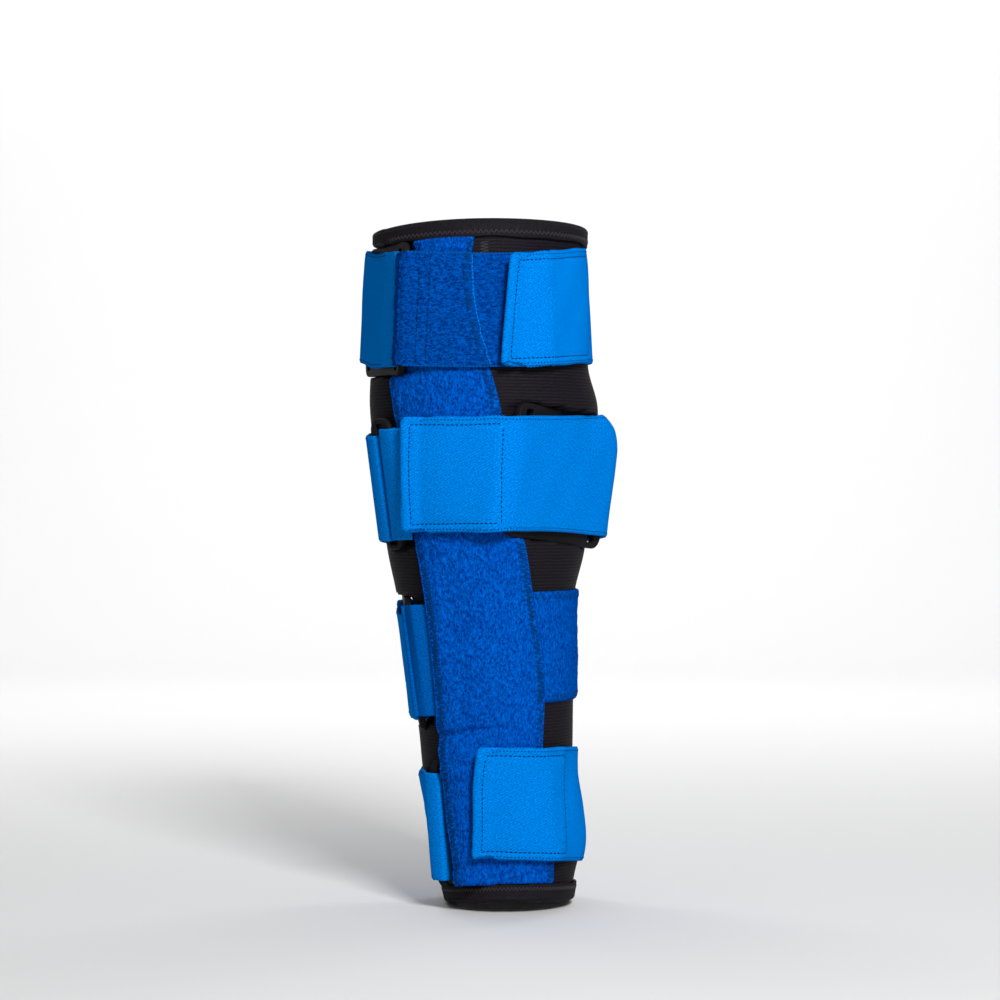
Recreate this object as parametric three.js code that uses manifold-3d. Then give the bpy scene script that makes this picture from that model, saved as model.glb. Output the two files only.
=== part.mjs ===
// Leg splint in its worn shape: an elastic sleeve, loop pile, plates, rings and four elastic straps.
// Millimetres, +Z up the leg, -Y the shin, +X the wearer's side on the viewer's right.
// Angles run round the leg in degrees: 0 is the shin, 90 the right side, 180 the calf, -90 the left side.
import * as THREE from "three";
import { mergeVertices } from "three/addons/utils/BufferGeometryUtils.js";
import Module from "manifold-3d";

const wasm = await Module();
wasm.setup();

const GAP = 0.4;
const SLEEVE_WALL = 2.4;
const PILE = 1.5;
const STRAP = 1.5;
const STRAP_HIGH = 49.4;
const PLATE = { wide: 68, high: 57, thick: 3, corner: 5.5, hole_wide: 4.9, hole_high: 51.4, hole_at: 26.6 };
const RING = { wide: 15, high: 57, thick: 2.6, corner: 6, hole_wide: 6.2, hole_high: 52.4, hole_at: 0 };
const DOME = { wide: 23, high: 50, deep: 5 };

const rad = (deg) => (deg * Math.PI) / 180;
const sin = (deg) => Math.sin(rad(deg));
const cos = (deg) => Math.cos(rad(deg));
const clamp = (x) => Math.min(1, Math.max(0, x));
const ease = (x) => clamp(x) ** 2 * (3 - 2 * clamp(x));
const turn = (deg) => ((((deg + 180) % 360) + 360) % 360) - 180;

// Smooth curve through a table whose first column falls or rises steadily.
function along(table, x, column) {
  const t = table[0][0] < table.at(-1)[0] ? table : [...table].reverse();
  const k = Math.max(0, Math.min(t.length - 2, t.findIndex((row) => row[0] > x) - 1));
  const i = x >= t.at(-1)[0] ? t.length - 2 : k;
  const slope = (j) => {
    const lo = t[Math.max(0, j - 1)];
    const hi = t[Math.min(t.length - 1, j + 1)];
    return (hi[column] - lo[column]) / (hi[0] - lo[0]);
  };
  const w = t[i + 1][0] - t[i][0];
  const s = clamp((x - t[i][0]) / w);
  const rise = t[i + 1][column] - t[i][column];
  const a = slope(i) * w - rise;
  const b = rise - slope(i + 1) * w;
  return t[i][column] + s * rise + s * (1 - s) * (a * (1 - s) + b * s);
}

// The leg: height, middle, half width, depth to the shin, depth to the calf.
const LEG = [
  [156, -2.2, 46.6, 46.5, 49.0],
  [136, -2.6, 45.6, 47.5, 50.5],
  [110, -2.8, 46.4, 49.5, 54.0],
  [84, -2.8, 47.8, 51.0, 57.0],
  [66, -0.9, 50.1, 51.3, 58.0],
  [37, -0.7, 47.0, 50.5, 56.0],
  [5, 0.0, 43.4, 48.5, 51.5],
  [-16, -0.2, 38.9, 46.5, 49.0],
  [-44, 1.8, 36.7, 43.5, 45.5],
  [-72, 4.2, 34.0, 40.3, 40.0],
  [-92, 5.3, 33.0, 38.2, 36.3],
  [-109, 8.0, 32.7, 36.8, 33.9],
  [-124, 10.0, 31.7, 35.9, 33.2],
  [-140, 9.9, 28.6, 35.0, 32.5],
  [-160, 10.6, 25.5, 34.2, 31.8],
];
const middle = (z) => along(LEG, z, 1);

function natural(deg, z) {
  const ahead = cos(deg) > 0;
  const power = ahead ? 2.05 : 2.3;
  const wide = Math.abs(sin(deg) / along(LEG, z, 2)) ** power;
  const deep = Math.abs(cos(deg) / along(LEG, z, ahead ? 3 : 4)) ** power;
  return (wide + deep) ** (-1 / power);
}

function spot(deg, z, r) {
  return new THREE.Vector3(middle(z) + r * sin(deg), -r * cos(deg), z);
}

// A flat plate or ring: where it faces, how its face leans and rolls, and its own axes.
// u runs forward to the shin, v up the leg, w out from the leg, and w = 0 is the inner face.
function seat({ size, facing, lean, roll, out, slip, z, clear, bend }) {
  const n = new THREE.Vector3(sin(facing) * cos(lean), -cos(facing) * cos(lean), -sin(lean));
  const side = Math.sign(facing);
  const level = new THREE.Vector3(-side * cos(facing), -side * sin(facing), 0);
  const u = level.clone().applyAxisAngle(n, rad(roll));
  const v = n.clone().cross(u).multiplyScalar(-side);
  const c = spot(facing, z, out).addScaledVector(level, slip);
  const at = (du, dv, dw) =>
    c.clone().addScaledVector(u, du).addScaledVector(v, dv).addScaledVector(n, dw);
  return { size, n, u, v, c, at, clear, bend };
}

// bend is the radius with which a strap turns at the seat's two ends.
const SEATS = {
  plate_upper: seat({
    size: PLATE,
    facing: -75,
    lean: -2,
    roll: -2,
    out: 40.2,
    slip: 0.5,
    z: 108.6,
    clear: [3.4, 5.2],
    bend: 7,
  }),
  plate_middle: seat({
    size: PLATE,
    facing: 52,
    lean: 4,
    roll: -6,
    out: 40.5,
    slip: 1.8,
    z: 36.5,
    clear: [2.7, 3.2],
    bend: 14,
  }),
  plate_lower: seat({
    size: PLATE,
    facing: -87,
    lean: 7,
    roll: 0,
    out: 31.8,
    slip: -8,
    z: -43.5,
    clear: [3.1, 3.1],
    bend: 7,
  }),
  ring_calf: seat({
    size: RING,
    facing: -56,
    lean: 8.5,
    roll: 0,
    out: 48.3,
    slip: 0,
    z: 33.5,
    clear: [2.4, 2.4],
    bend: 2,
  }),
  ring_ankle: seat({
    size: RING,
    facing: -38.5,
    lean: 6,
    roll: 0,
    out: 36.8,
    slip: -1.2,
    z: -113,
    clear: [2.4, 2.4],
    bend: 2,
  }),
};

// Depth of the dome under a plate, grown by a margin for the hollow that it presses.
function dome(u, v, margin) {
  const q = 1 - (2 * u / (DOME.wide + margin)) ** 2 - (2 * v / (DOME.high + margin)) ** 2;
  return DOME.deep * Math.sqrt(Math.max(0, q));
}

// How far out the sleeve may stand under a seat; past the seat's edges the limit curves away.
function limit(s, deg, z) {
  const ray = new THREE.Vector3(sin(deg), -cos(deg), 0);
  const facing = ray.dot(s.n);
  if (facing < 0.25) return Infinity;
  const from = spot(deg, z, 0).sub(s.c);
  const flat = -from.dot(s.n) / facing;
  const p = from.clone().addScaledVector(ray, flat);
  const u = p.dot(s.u);
  const v = p.dot(s.v);
  const past = Math.max(0, Math.abs(u) - s.size.wide / 2 - 3) ** 2;
  const over = Math.max(0, Math.abs(v) - s.size.high / 2 - 1.5) ** 2;
  const pressed = s.size === PLATE ? dome(u, v, 8) + 1 : 0;
  const clear = s.clear[0] + (s.clear[1] - s.clear[0]) * ease((u - 10) / 8);
  const depth = Math.max(clear, pressed) - 0.05 * past - 0.12 * over;
  return flat - depth / facing;
}

// Outer radius of the sleeve: the leg, pressed in softly under each seat.
function pressed(deg, z) {
  let r = natural(deg, z);
  for (const s of Object.values(SEATS)) {
    const m = limit(s, deg, z);
    const soft = Math.max(0, 3 - Math.abs(r - m)) ** 2 / 12;
    r = Math.min(r, m) - soft;
  }
  return r;
}

// Rim heights: angle, top, bottom.
const RIMS = [
  [-180, 144.5, -150.0],
  [-90, 143.0, -150.5],
  [0, 145.8, -145.6],
  [90, 145.4, -149.2],
  [180, 144.5, -150.0],
];
const HEM = { high: 8, thick: 1.1, tuck: 1.6, slack: GAP + 0.6 };
const COLUMNS = 40;
const LEVELS = 21;
const TURN = 360 / COLUMNS;
const ROUND = Array.from({ length: COLUMNS }, (_, i) => i * TURN - 180);

// Heights of the sleeve's rows at one angle: a row at each hem's edge, the rest evenly spaced.
function heights(deg) {
  const top = along(RIMS, deg, 1);
  const bottom = along(RIMS, deg, 2);
  const inner = HEM.high + 0.6;
  const list = [bottom + HEM.tuck];
  for (let i = 0; i <= LEVELS - 2; i++) {
    list.push(bottom + inner + ((top - bottom - 2 * inner) * i) / (LEVELS - 2));
  }
  list.push(top - HEM.tuck);
  return list;
}
const GRID = ROUND.map((deg) => heights(deg).map((z) => [z, pressed(deg, z)]));

// Radius of the sleeve as it is faceted, triangle by triangle, so that what lies on it follows its facets.
function skin(deg, z) {
  const place = (turn(deg) + 180) / TURN;
  const first = Math.floor(place);
  const across = place - first;
  const [near, far] = [GRID[first % COLUMNS], GRID[(first + 1) % COLUMNS]];
  const level = (i) => near[i][0] + (far[i][0] - near[i][0]) * across;
  let i = 0;
  while (i < LEVELS - 1 && level(i + 1) < z) i++;
  const up = (z - level(i)) / (level(i + 1) - level(i));
  const [a, b, c, d] = [near[i][1], far[i][1], far[i + 1][1], near[i + 1][1]];
  return across > up ? a + (b - a) * across + (c - b) * up : a + (d - a) * up + (c - d) * across;
}

// Front panel edges: height, left angle, right angle.
const PANEL = [
  [141, -34.0, -1.5],
  [129, -37.0, -4.0],
  [106, -41.0, -2.0],
  [80, -45.0, 4.0],
  [62, -45.0, 8.5],
  [37, -42.0, 13.0],
  [10, -38.0, 18.3],
  [-11, -34.0, 23.5],
  [-29, -31.4, 27.5],
  [-45, -31.5, 31.0],
  [-60, -33.0, 31.5],
  [-79, -37.5, 29.8],
  [-90, -35.0, 30.3],
  [-113, -38.1, 28.0],
  [-136, -37.3, 32.1],
  [-143, -40.3, 35.3],
];

const group = new THREE.Group();
function piece(name, geometry, colour, roughness) {
  const material = new THREE.MeshStandardMaterial({ color: colour, roughness });
  const mesh = new THREE.Mesh(geometry, material);
  mesh.name = name;
  group.add(mesh);
}

// Closed solid between two grids of points, rows by columns; a ring joins its last column to its first.
function between(outer, inner, ring) {
  const rows = outer.length;
  const cols = outer[0].length;
  const points = [...outer.flat(), ...inner.flat()];
  const id = (side, r, c) => side * rows * cols + r * cols + (c % cols);
  const faces = [];
  const quad = (a, b, c, d) => faces.push(a, b, c, a, c, d);
  const spans = ring ? cols : cols - 1;
  for (let c = 0; c < spans; c++) {
    for (let r = 0; r < rows - 1; r++) {
      quad(id(0, r, c), id(0, r, c + 1), id(0, r + 1, c + 1), id(0, r + 1, c));
      quad(id(1, r, c), id(1, r + 1, c), id(1, r + 1, c + 1), id(1, r, c + 1));
    }
    quad(id(1, 0, c), id(1, 0, c + 1), id(0, 0, c + 1), id(0, 0, c));
    const top = rows - 1;
    quad(id(0, top, c), id(0, top, c + 1), id(1, top, c + 1), id(1, top, c));
  }
  for (let r = 0; r < rows - 1 && !ring; r++) {
    quad(id(0, r, 0), id(0, r + 1, 0), id(1, r + 1, 0), id(1, r, 0));
    const end = cols - 1;
    quad(id(1, r, end), id(1, r + 1, end), id(0, r + 1, end), id(0, r, end));
  }
  let volume = 0;
  for (let i = 0; i < faces.length; i += 3) {
    const [a, b, c] = [points[faces[i]], points[faces[i + 1]], points[faces[i + 2]]];
    volume += a.dot(b.clone().cross(c));
  }
  if (volume < 0) faces.reverse();
  const g = new THREE.BufferGeometry().setFromPoints(points);
  g.setIndex(faces);
  return g;
}

const tube = (offset) =>
  Array.from({ length: LEVELS + 1 }, (_, i) =>
    ROUND.map((deg, c) => spot(deg, GRID[c][i][0], GRID[c][i][1] - offset)),
  );
piece("sleeve", between(tube(0), tube(SLEEVE_WALL), true), 0x1f1e22, 0.85);

// A folded binding over one rim: out of the wall, over the edge and back down inside.
function hem(column, sign) {
  const deep = SLEEVE_WALL + HEM.slack;
  const outside = [
    [-HEM.high, HEM.slack],
    [-HEM.high, HEM.slack + HEM.thick],
    [-1, HEM.slack + HEM.thick],
    [0, -SLEEVE_WALL / 2],
    [-1, -deep - HEM.thick],
    [-HEM.high, -deep - HEM.thick],
    [-HEM.high, -deep],
    [-1.2, -deep],
    [-1.2, HEM.slack],
  ];
  const loops = outside.map(([down, off]) =>
    ROUND.map((deg) => {
      const z = along(RIMS, deg, column) + sign * down;
      return spot(deg, z, skin(deg, z) + off);
    }),
  );
  const cols = ROUND.length;
  const faces = [];
  for (let k = 0; k < loops.length; k++) {
    for (let c = 0; c < cols; c++) {
      const next = (k + 1) % loops.length;
      const a = k * cols + c;
      const b = k * cols + ((c + 1) % cols);
      const e = next * cols + ((c + 1) % cols);
      const f = next * cols + c;
      faces.push(a, b, e, a, e, f);
    }
  }
  if (sign < 0) faces.reverse();
  const g = new THREE.BufferGeometry().setFromPoints(loops.flat());
  g.setIndex(faces);
  return g;
}
piece("top_hem", hem(1, 1), 0x18171a, 0.8);
piece("bottom_hem", hem(2, -1), 0x18171a, 0.8);

// Straps: angle and mid height, as worn.
const COURSE = {
  upper: [
    [-180, 110.8],
    [-115, 113],
    [-80, 110.5],
    [0, 106],
    [90, 111.7],
    [180, 110.8],
  ],
  calf: [
    [-180, 34],
    [-85, 32],
    [-50, 36.5],
    [0, 37.4],
    [45, 37.6],
    [90, 37],
    [180, 34],
  ],
  lower: [
    [-180, -42],
    [-90, -45],
    [-55, -41],
    [0, -38],
    [90, -37],
    [180, -42],
  ],
  ankle: [
    [-180, -112],
    [-75, -113],
    [-40, -103.5],
    [0, -102.5],
    [90, -107],
    [180, -112],
  ],
};
const course = (strap, deg) => along(COURSE[strap], turn(deg), 1);

// The lower loop leaves its plate and settles on the sleeve: height of its middle above the sleeve.
const LOOP_HIGH = 48;
const HALF = GAP + STRAP / 2;
const LOWER_LOOP = { from: -51, to: -27, rise: 6.4 };
const settle = (deg) =>
  HALF + LOWER_LOOP.rise * (1 - ease((deg - LOWER_LOOP.from) / (LOWER_LOOP.to - LOWER_LOOP.from)));

// The panel rises over what lies under its left edge: the lower loop's end and the ankle ring's front bar.
function lift(deg, z) {
  const above = 1 - ease((Math.abs(z + 41) - LOOP_HIGH / 2 - 6) / 9);
  const tucked = (settle(deg) + STRAP / 2) * (1 - ease((deg - LOWER_LOOP.to - 1) / 9)) * above;
  const s = SEATS.ring_ankle;
  const ray = new THREE.Vector3(sin(deg), -cos(deg), 0);
  const facing = ray.dot(s.n);
  if (facing < 0.25) return tucked;
  const from = spot(deg, z, 0).sub(s.c);
  const top = (RING.thick + 0.1 - from.dot(s.n)) / facing;
  const p = from.addScaledVector(ray, top);
  const off_end = ease((p.dot(s.u) - RING.wide / 2 - 0.8) / 13);
  const off_side = ease((Math.abs(p.dot(s.v)) - RING.high / 2 - 2.5) / 10);
  return Math.max(tucked, (top - skin(deg, z)) * (1 - off_end) * (1 - off_side));
}
// The panel spans small hollows of the sleeve.
function bed(deg, z) {
  const across = (skin(deg - 4, z) + skin(deg + 4, z)) / 2;
  const down = (skin(deg, z - 6) + skin(deg, z + 6)) / 2;
  return Math.max(skin(deg, z), across, down) + GAP + 0.55 + lift(deg, z);
}
const on_panel = (deg, z) => deg > along(PANEL, z, 1) - 2.5 && deg < along(PANEL, z, 2) + 2.5;
const panel_top = (deg, z) => (on_panel(deg, z) ? bed(deg, z) + PILE - skin(deg, z) : 0);

const PANEL_ROWS = 2 * (LEVELS - 2);
const ACROSS = [0, 0.11, 0.22, 0.33, 0.44, 0.55, 0.66, 0.76, 0.84, 0.92, 1];
const strip = (offset) =>
  Array.from({ length: PANEL_ROWS + 1 }, (_, i) =>
    ACROSS.map((f) => {
      const levels = heights(-38 + 72 * f).slice(1, -1);
      const low = Math.min(levels.length - 2, Math.floor(i / 2));
      const z = levels[low] + (levels[low + 1] - levels[low]) * (i / 2 - low);
      const left = along(PANEL, z, 1);
      const deg = left + (along(PANEL, z, 2) - left) * f;
      return spot(deg, z, bed(deg, z) + offset);
    }),
  );
piece("front_panel", between(strip(PILE), strip(0), false), 0x0b50b4, 0.95);

// Side patch: from the panel's edge round to the back of the right side.
const PATCH = { top: -12.5, bottom: -60.5, rows: 6, cols: 10, end: 150, rise: GAP + 0.4 };
const patch = (offset) =>
  Array.from({ length: PATCH.rows + 1 }, (_, i) =>
    Array.from({ length: PATCH.cols + 1 }, (_, j) => {
      const z = PATCH.bottom + ((PATCH.top - PATCH.bottom) * i) / PATCH.rows;
      const start = along(PANEL, z, 2) + 0.6;
      const deg = start + ((PATCH.end - start) * j) / PATCH.cols;
      return spot(deg, z, skin(deg, z) + PATCH.rise + offset);
    }),
  );
piece("side_patch", between(patch(PILE), patch(0), false), 0x0b50b4, 0.95);
const on_patch = (deg, z) =>
  deg > 20 && deg < PATCH.end + 3 && z > PATCH.bottom - 7 && z < PATCH.top + 7;

// Flat moulded outlines in a seat's own axes, turned into place.
function solid(geometry) {
  const bare = new THREE.BufferGeometry();
  bare.setAttribute("position", geometry.getAttribute("position"));
  if (geometry.index) bare.setIndex(geometry.index);
  const merged = mergeVertices(bare, 1e-4);
  const mesh = new wasm.Mesh({
    numProp: 3,
    vertProperties: merged.getAttribute("position").array,
    triVerts: new Uint32Array(merged.index.array),
  });
  return new wasm.Manifold(mesh);
}
function rounded(path, cx, wide, high, r) {
  const [x, y] = [wide / 2 - r, high / 2 - r];
  path.absarc(cx + x, y, r, 0, Math.PI / 2);
  path.absarc(cx - x, y, r, Math.PI / 2, Math.PI);
  path.absarc(cx - x, -y, r, Math.PI, 1.5 * Math.PI);
  path.absarc(cx + x, -y, r, 1.5 * Math.PI, 2 * Math.PI);
  path.closePath();
  return path;
}
function moulding(size, holes) {
  const shape = rounded(new THREE.Shape(), 0, size.wide, size.high, size.corner);
  for (const at of holes) {
    const hole = rounded(new THREE.Path(), at, size.hole_wide, size.hole_high, 1.2);
    shape.holes.push(hole);
  }
  return new THREE.ExtrudeGeometry(shape, { depth: size.thick, curveSegments: 3, bevelEnabled: false });
}
function domed() {
  const profile = [new THREE.Vector2(0, 1), new THREE.Vector2(1, 1)];
  for (let k = 0; k <= 4; k++) {
    profile.push(new THREE.Vector2(cos(22.5 * k), -DOME.deep * sin(22.5 * k)));
  }
  profile.at(-1).x = 0;
  const g = new THREE.LatheGeometry(profile.reverse(), 16);
  return g.rotateX(Math.PI / 2).scale(DOME.wide / 2, DOME.high / 2, 1);
}
function placed(manifold, s) {
  const mesh = manifold.getMesh();
  const points = [];
  for (let i = 0; i < mesh.numVert; i++) {
    const [a, b, c] = mesh.vertProperties.subarray(i * mesh.numProp, i * mesh.numProp + 3);
    points.push(s.at(a, b, c));
  }
  const faces = Array.from(mesh.triVerts);
  if (s.u.clone().cross(s.v).dot(s.n) < 0) faces.reverse();
  const g = new THREE.BufferGeometry().setFromPoints(points);
  g.setIndex(faces);
  return g;
}
for (const [name, s] of Object.entries(SEATS)) {
  const holes = s.size === PLATE ? [-PLATE.hole_at, PLATE.hole_at] : [0];
  const flat = solid(moulding(s.size, holes));
  const made = s.size === PLATE ? flat.add(solid(domed())) : flat;
  piece(name, placed(made, s), 0x33343a, 0.45);
}

// A taut band takes the shortest way round the sleeve and whatever lies under it.
// At one height, the outline comes from its supporting lines, and is read at any angle.
const STEP = 2;
const EASE = 0.4;
function taut(under, seats) {
  const kept = new Map();
  const supports = (z) => {
    const key = Math.round(z * 4);
    if (kept.has(key)) return kept.get(key);
    const points = [];
    for (let deg = -180; deg < 180; deg += STEP) {
      points.push(spot(deg, z, skin(deg, z) + under(deg, z)));
    }
    const bends = [];
    for (const s of seats) {
      const bend = s.bend;
      for (const end of [-1, 1]) {
        const hub = s.at(end * (s.size.wide / 2 - 0.4 * bend + 0.2), 0, s.size.thick + 0.11 * bend - bend);
        bends.push([hub.addScaledVector(s.v, (z - hub.z) / s.v.z), bend]);
      }
    }
    const reach = [];
    for (let deg = -180; deg < 180; deg += STEP) {
      const [x, y] = [sin(deg), -cos(deg)];
      const far = (p) => (p.x - middle(z)) * x + p.y * y;
      reach.push(Math.max(...points.map(far), ...bends.map(([hub, bend]) => far(hub) + bend)));
    }
    kept.set(key, reach);
    return reach;
  };
  return (deg, z) => {
    const reach = supports(z);
    let r = Infinity;
    reach.forEach((h, k) => {
      const across = cos(deg - (k * STEP - 180));
      if (across > 0.25) r = Math.min(r, h / across);
    });
    return r + EASE;
  };
}

// A band of one thickness swept along a line for each of its rows, with both ends square.
function band(rows, thick) {
  const sides = [0.5, -0.5].map((share) =>
    rows.map((row) =>
      row.map((p, i) => {
        const before = row[Math.max(0, i - 1)];
        const after = row[Math.min(row.length - 1, i + 1)];
        const a = p.clone().sub(before).setZ(0).normalize();
        const b = after.clone().sub(p).setZ(0).normalize();
        const way = a.clone().add(b).normalize();
        const stretch = 1 / Math.max(0.7, way.dot(a.lengthSq() ? a : b));
        return p.clone().add(new THREE.Vector3(way.y, -way.x, 0).multiplyScalar(share * thick * stretch));
      }),
    ),
  );
  return between(sides[0], sides[1], false);
}

// Turn round a bar in a seat's own axes: over the top, down the hole's wall and back under.
// edge is the wall, way is +1 where the bar lies behind it, and tail is the length left underneath.
function fold(s, v, edge, way, tail) {
  const out = [];
  for (const a of [90, 45, 0]) {
    out.push(s.at(edge + way * HALF * cos(a), v, s.size.thick + HALF * sin(a)));
  }
  for (const a of [0, -45, -90]) {
    out.push(s.at(edge + way * HALF * cos(a), v, HALF * sin(a)));
  }
  out.push(s.at(edge - way * tail, v, -HALF));
  return out;
}

const ROWS = [-0.5, 0, 0.5];
const BULGE_ROWS = [-0.5, -0.3, 0, 0.5];
const angle_of = (p) => THREE.MathUtils.radToDeg(Math.atan2(p.x - middle(p.z), -p.y));

// Angles from one key angle to the next, each stretch cut into steps of about seven degrees.
function stations(keys, counts) {
  const list = [keys[0]];
  for (let i = 1; i < keys.length; i++) {
    for (let k = 1; k <= counts[i - 1]; k++) {
      list.push(keys[i - 1] + ((keys[i] - keys[i - 1]) * k) / counts[i - 1]);
    }
  }
  return list;
}

// One strap: folded round the hole's wall on the left, over its seat, round the calf and on to its tab.
// The strap turns a corner at each end of a plate, so those angles are stations.
function strap(name, s, { tab, slant, wall, tail, under, over, across = ROWS }) {
  const round = taut(under, [s, ...over]);
  const rear = -s.size.wide / 2 - 0.15;
  const rows = across.map((f) => {
    const v = f * STRAP_HIGH;
    const line = fold(s, v, wall, 1, tail).reverse();
    const corner = s.at(rear, v, s.size.thick);
    const begin = angle_of(s.at(Math.max(rear, wall - 12), v, s.size.thick));
    const keys = [begin, angle_of(corner) - 0.01];
    for (const o of over) {
      keys.push(angle_of(o.at(-o.size.wide / 2 - 0.15, v, o.size.thick)) - 360);
      keys.push(angle_of(o.at(o.size.wide / 2 + 0.15, v, o.size.thick)) - 360);
    }
    keys.push(tab + slant * f);
    const counts = keys.slice(1).map((_, i) => (i ? 0 : 4));
    const typical = [-60, -75, ...over.flatMap(() => [-265, -345]), tab];
    for (let i = 1; i < counts.length; i++) {
      counts[i] = Math.max(2, Math.round((typical[i] - typical[i + 1]) / 7.5));
    }
    for (const deg of stations(keys, counts)) {
      const away = ease((begin - deg) / 60);
      const z = (s.c.z + v * s.v.z) * (1 - away) + (course(name, deg) + v) * away;
      line.push(spot(deg, z, round(deg, z) + HALF));
    }
    return line;
  });
  piece(`strap_${name}`, band(rows, STRAP), 0x0a78d6, 0.6);
}

// One short band round the front bar of a seat, running forward to where it is sewn down.
// It lies taut over the panel, or dives to the sleeve where the panel's edge is sewn over it.
function loop(name, s, { end, wall, tail, round }) {
  const rows = ROWS.map((f) => {
    const v = f * LOOP_HIGH;
    const line = fold(s, v, wall, -1, tail).reverse();
    const edge = s.size.wide / 2;
    for (const a of [90, 50]) {
      line.push(s.at(edge + 0.9 + HALF * cos(a), v, s.size.thick + HALF * sin(a)));
    }
    const bar = line.at(-1);
    const begin = angle_of(bar);
    const count = round ? 12 : 8;
    for (let k = 1; k <= count; k++) {
      const deg = begin + ((end - begin) * k) / count;
      const z = bar.z + (course(name, deg) - course(name, begin)) * 0.8;
      const r = round ? round(deg, z) + HALF : skin(deg, z) + settle(deg);
      line.push(spot(deg, z, r));
    }
    return line;
  });
  piece(`loop_${name}`, band(rows, STRAP), 0x0b5cc0, 0.9);
}

const LAYER = GAP + STRAP;
const fore = PLATE.hole_at + PLATE.hole_wide / 2;
const aft = PLATE.hole_at - PLATE.hole_wide / 2;
const upper_round = taut(panel_top, [SEATS.plate_upper]);
const calf_round = taut(panel_top, [SEATS.ring_calf]);
const over_loop = (round, deg, z, from, to) =>
  deg > from && deg < to ? round(deg, z) + LAYER - skin(deg, z) : 0;
const hem_top = (deg, z) => (z > along(RIMS, deg, 1) - HEM.high - 1 ? HEM.slack + HEM.thick : 0);

loop("upper", SEATS.plate_upper, { end: 34, wall: fore, tail: 9, round: upper_round });
loop("calf", SEATS.ring_calf, { end: -38, wall: RING.hole_wide / 2, tail: 4, round: calf_round });
loop("lower", SEATS.plate_lower, { end: LOWER_LOOP.to, wall: fore, tail: 5 });

strap("upper", SEATS.plate_upper, {
  tab: -347,
  slant: 5.3,
  wall: aft,
  tail: 8,
  over: [],
  under: (deg, z) => Math.max(panel_top(deg, z), hem_top(deg, z), over_loop(upper_round, deg, z, 4, 36)),
});
strap("calf", SEATS.ring_calf, {
  tab: -401.4,
  slant: 2.2,
  wall: -RING.hole_wide / 2,
  tail: 4,
  over: [SEATS.plate_middle],
  under: (deg, z) => Math.max(panel_top(deg, z), over_loop(calf_round, deg, z, -50, -36)),
});
strap("lower", SEATS.plate_lower, {
  tab: -232,
  slant: 0,
  wall: aft,
  tail: 8,
  over: [],
  under: (deg, z) => (on_patch(deg, z) ? PATCH.rise + PILE : 0),
});
// The ankle strap has one row more, for the bulge above the ankle.
strap("ankle", SEATS.ring_ankle, {
  tab: -378,
  slant: 9,
  wall: -RING.hole_wide / 2,
  tail: 4,
  over: [],
  under: panel_top,
  across: BULGE_ROWS,
});

export default group;
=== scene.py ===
import bpy
import numpy as np
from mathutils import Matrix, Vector


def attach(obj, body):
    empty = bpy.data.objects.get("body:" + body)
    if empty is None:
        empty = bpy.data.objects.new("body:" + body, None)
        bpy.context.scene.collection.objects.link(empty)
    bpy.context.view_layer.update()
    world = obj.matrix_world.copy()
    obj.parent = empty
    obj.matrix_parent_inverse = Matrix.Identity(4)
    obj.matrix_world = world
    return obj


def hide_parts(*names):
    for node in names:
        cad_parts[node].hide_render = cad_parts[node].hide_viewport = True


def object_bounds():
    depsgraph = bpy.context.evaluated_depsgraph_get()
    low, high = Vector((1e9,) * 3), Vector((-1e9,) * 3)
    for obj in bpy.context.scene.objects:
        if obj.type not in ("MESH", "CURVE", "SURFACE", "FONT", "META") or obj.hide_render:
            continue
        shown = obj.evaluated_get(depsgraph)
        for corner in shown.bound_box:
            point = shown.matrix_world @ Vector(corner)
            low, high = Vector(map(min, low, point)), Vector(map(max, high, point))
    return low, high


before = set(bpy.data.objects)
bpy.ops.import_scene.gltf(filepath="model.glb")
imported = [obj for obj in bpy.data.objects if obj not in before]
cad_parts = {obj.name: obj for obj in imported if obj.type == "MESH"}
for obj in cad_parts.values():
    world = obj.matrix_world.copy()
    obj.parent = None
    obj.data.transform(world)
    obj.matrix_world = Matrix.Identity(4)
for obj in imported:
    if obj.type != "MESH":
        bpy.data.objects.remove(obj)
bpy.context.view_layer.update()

# Sleeve
# A tube of black elastic rib knit, wide at the top and narrow at the bottom, stretched smooth when worn.
# Each plate or ring under a strap presses a hollow into it.
MM = 0.001
KNIT_WALL = 2.4

# The worn tube: height, middle, half width, depth to the front, depth to the back.
GIRTH = [
    (156, -2.2, 46.6, 46.5, 49.0),
    (136, -2.6, 45.6, 47.5, 50.5),
    (110, -2.8, 46.4, 49.5, 54.0),
    (84, -2.8, 47.8, 51.0, 57.0),
    (66, -0.9, 50.1, 51.3, 58.0),
    (37, -0.7, 47.0, 50.5, 56.0),
    (5, 0.0, 43.4, 48.5, 51.5),
    (-16, -0.2, 38.9, 46.5, 49.0),
    (-44, 1.8, 36.7, 43.5, 45.5),
    (-72, 4.2, 34.0, 40.3, 40.0),
    (-92, 5.3, 33.0, 38.2, 36.3),
    (-109, 8.0, 32.7, 36.8, 33.9),
    (-124, 10.0, 31.7, 35.9, 33.2),
    (-140, 9.9, 28.6, 35.0, 32.5),
    (-160, 10.6, 25.5, 34.2, 31.8),
]
# Angle, height of the top rim, height of the bottom rim.
RIMS = [
    (-180, 144.5, -150.0),
    (-90, 143.0, -150.5),
    (0, 145.8, -145.6),
    (90, 145.4, -149.2),
    (180, 144.5, -150.0),
]
PLATE = {"wide": 68.0, "high": 57.0, "thick": 3.0, "corner": 5.5, "slot_wide": 4.9, "slot_high": 51.4,
         "slots": (-26.6, 26.6)}
RING = {"wide": 15.0, "high": 57.0, "thick": 2.6, "corner": 6.0, "slot_wide": 6.2, "slot_high": 52.4,
        "slots": (0.0,)}
DOME = {"wide": 23.0, "high": 50.0, "deep": 5.0, "power": 2.2}


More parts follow.
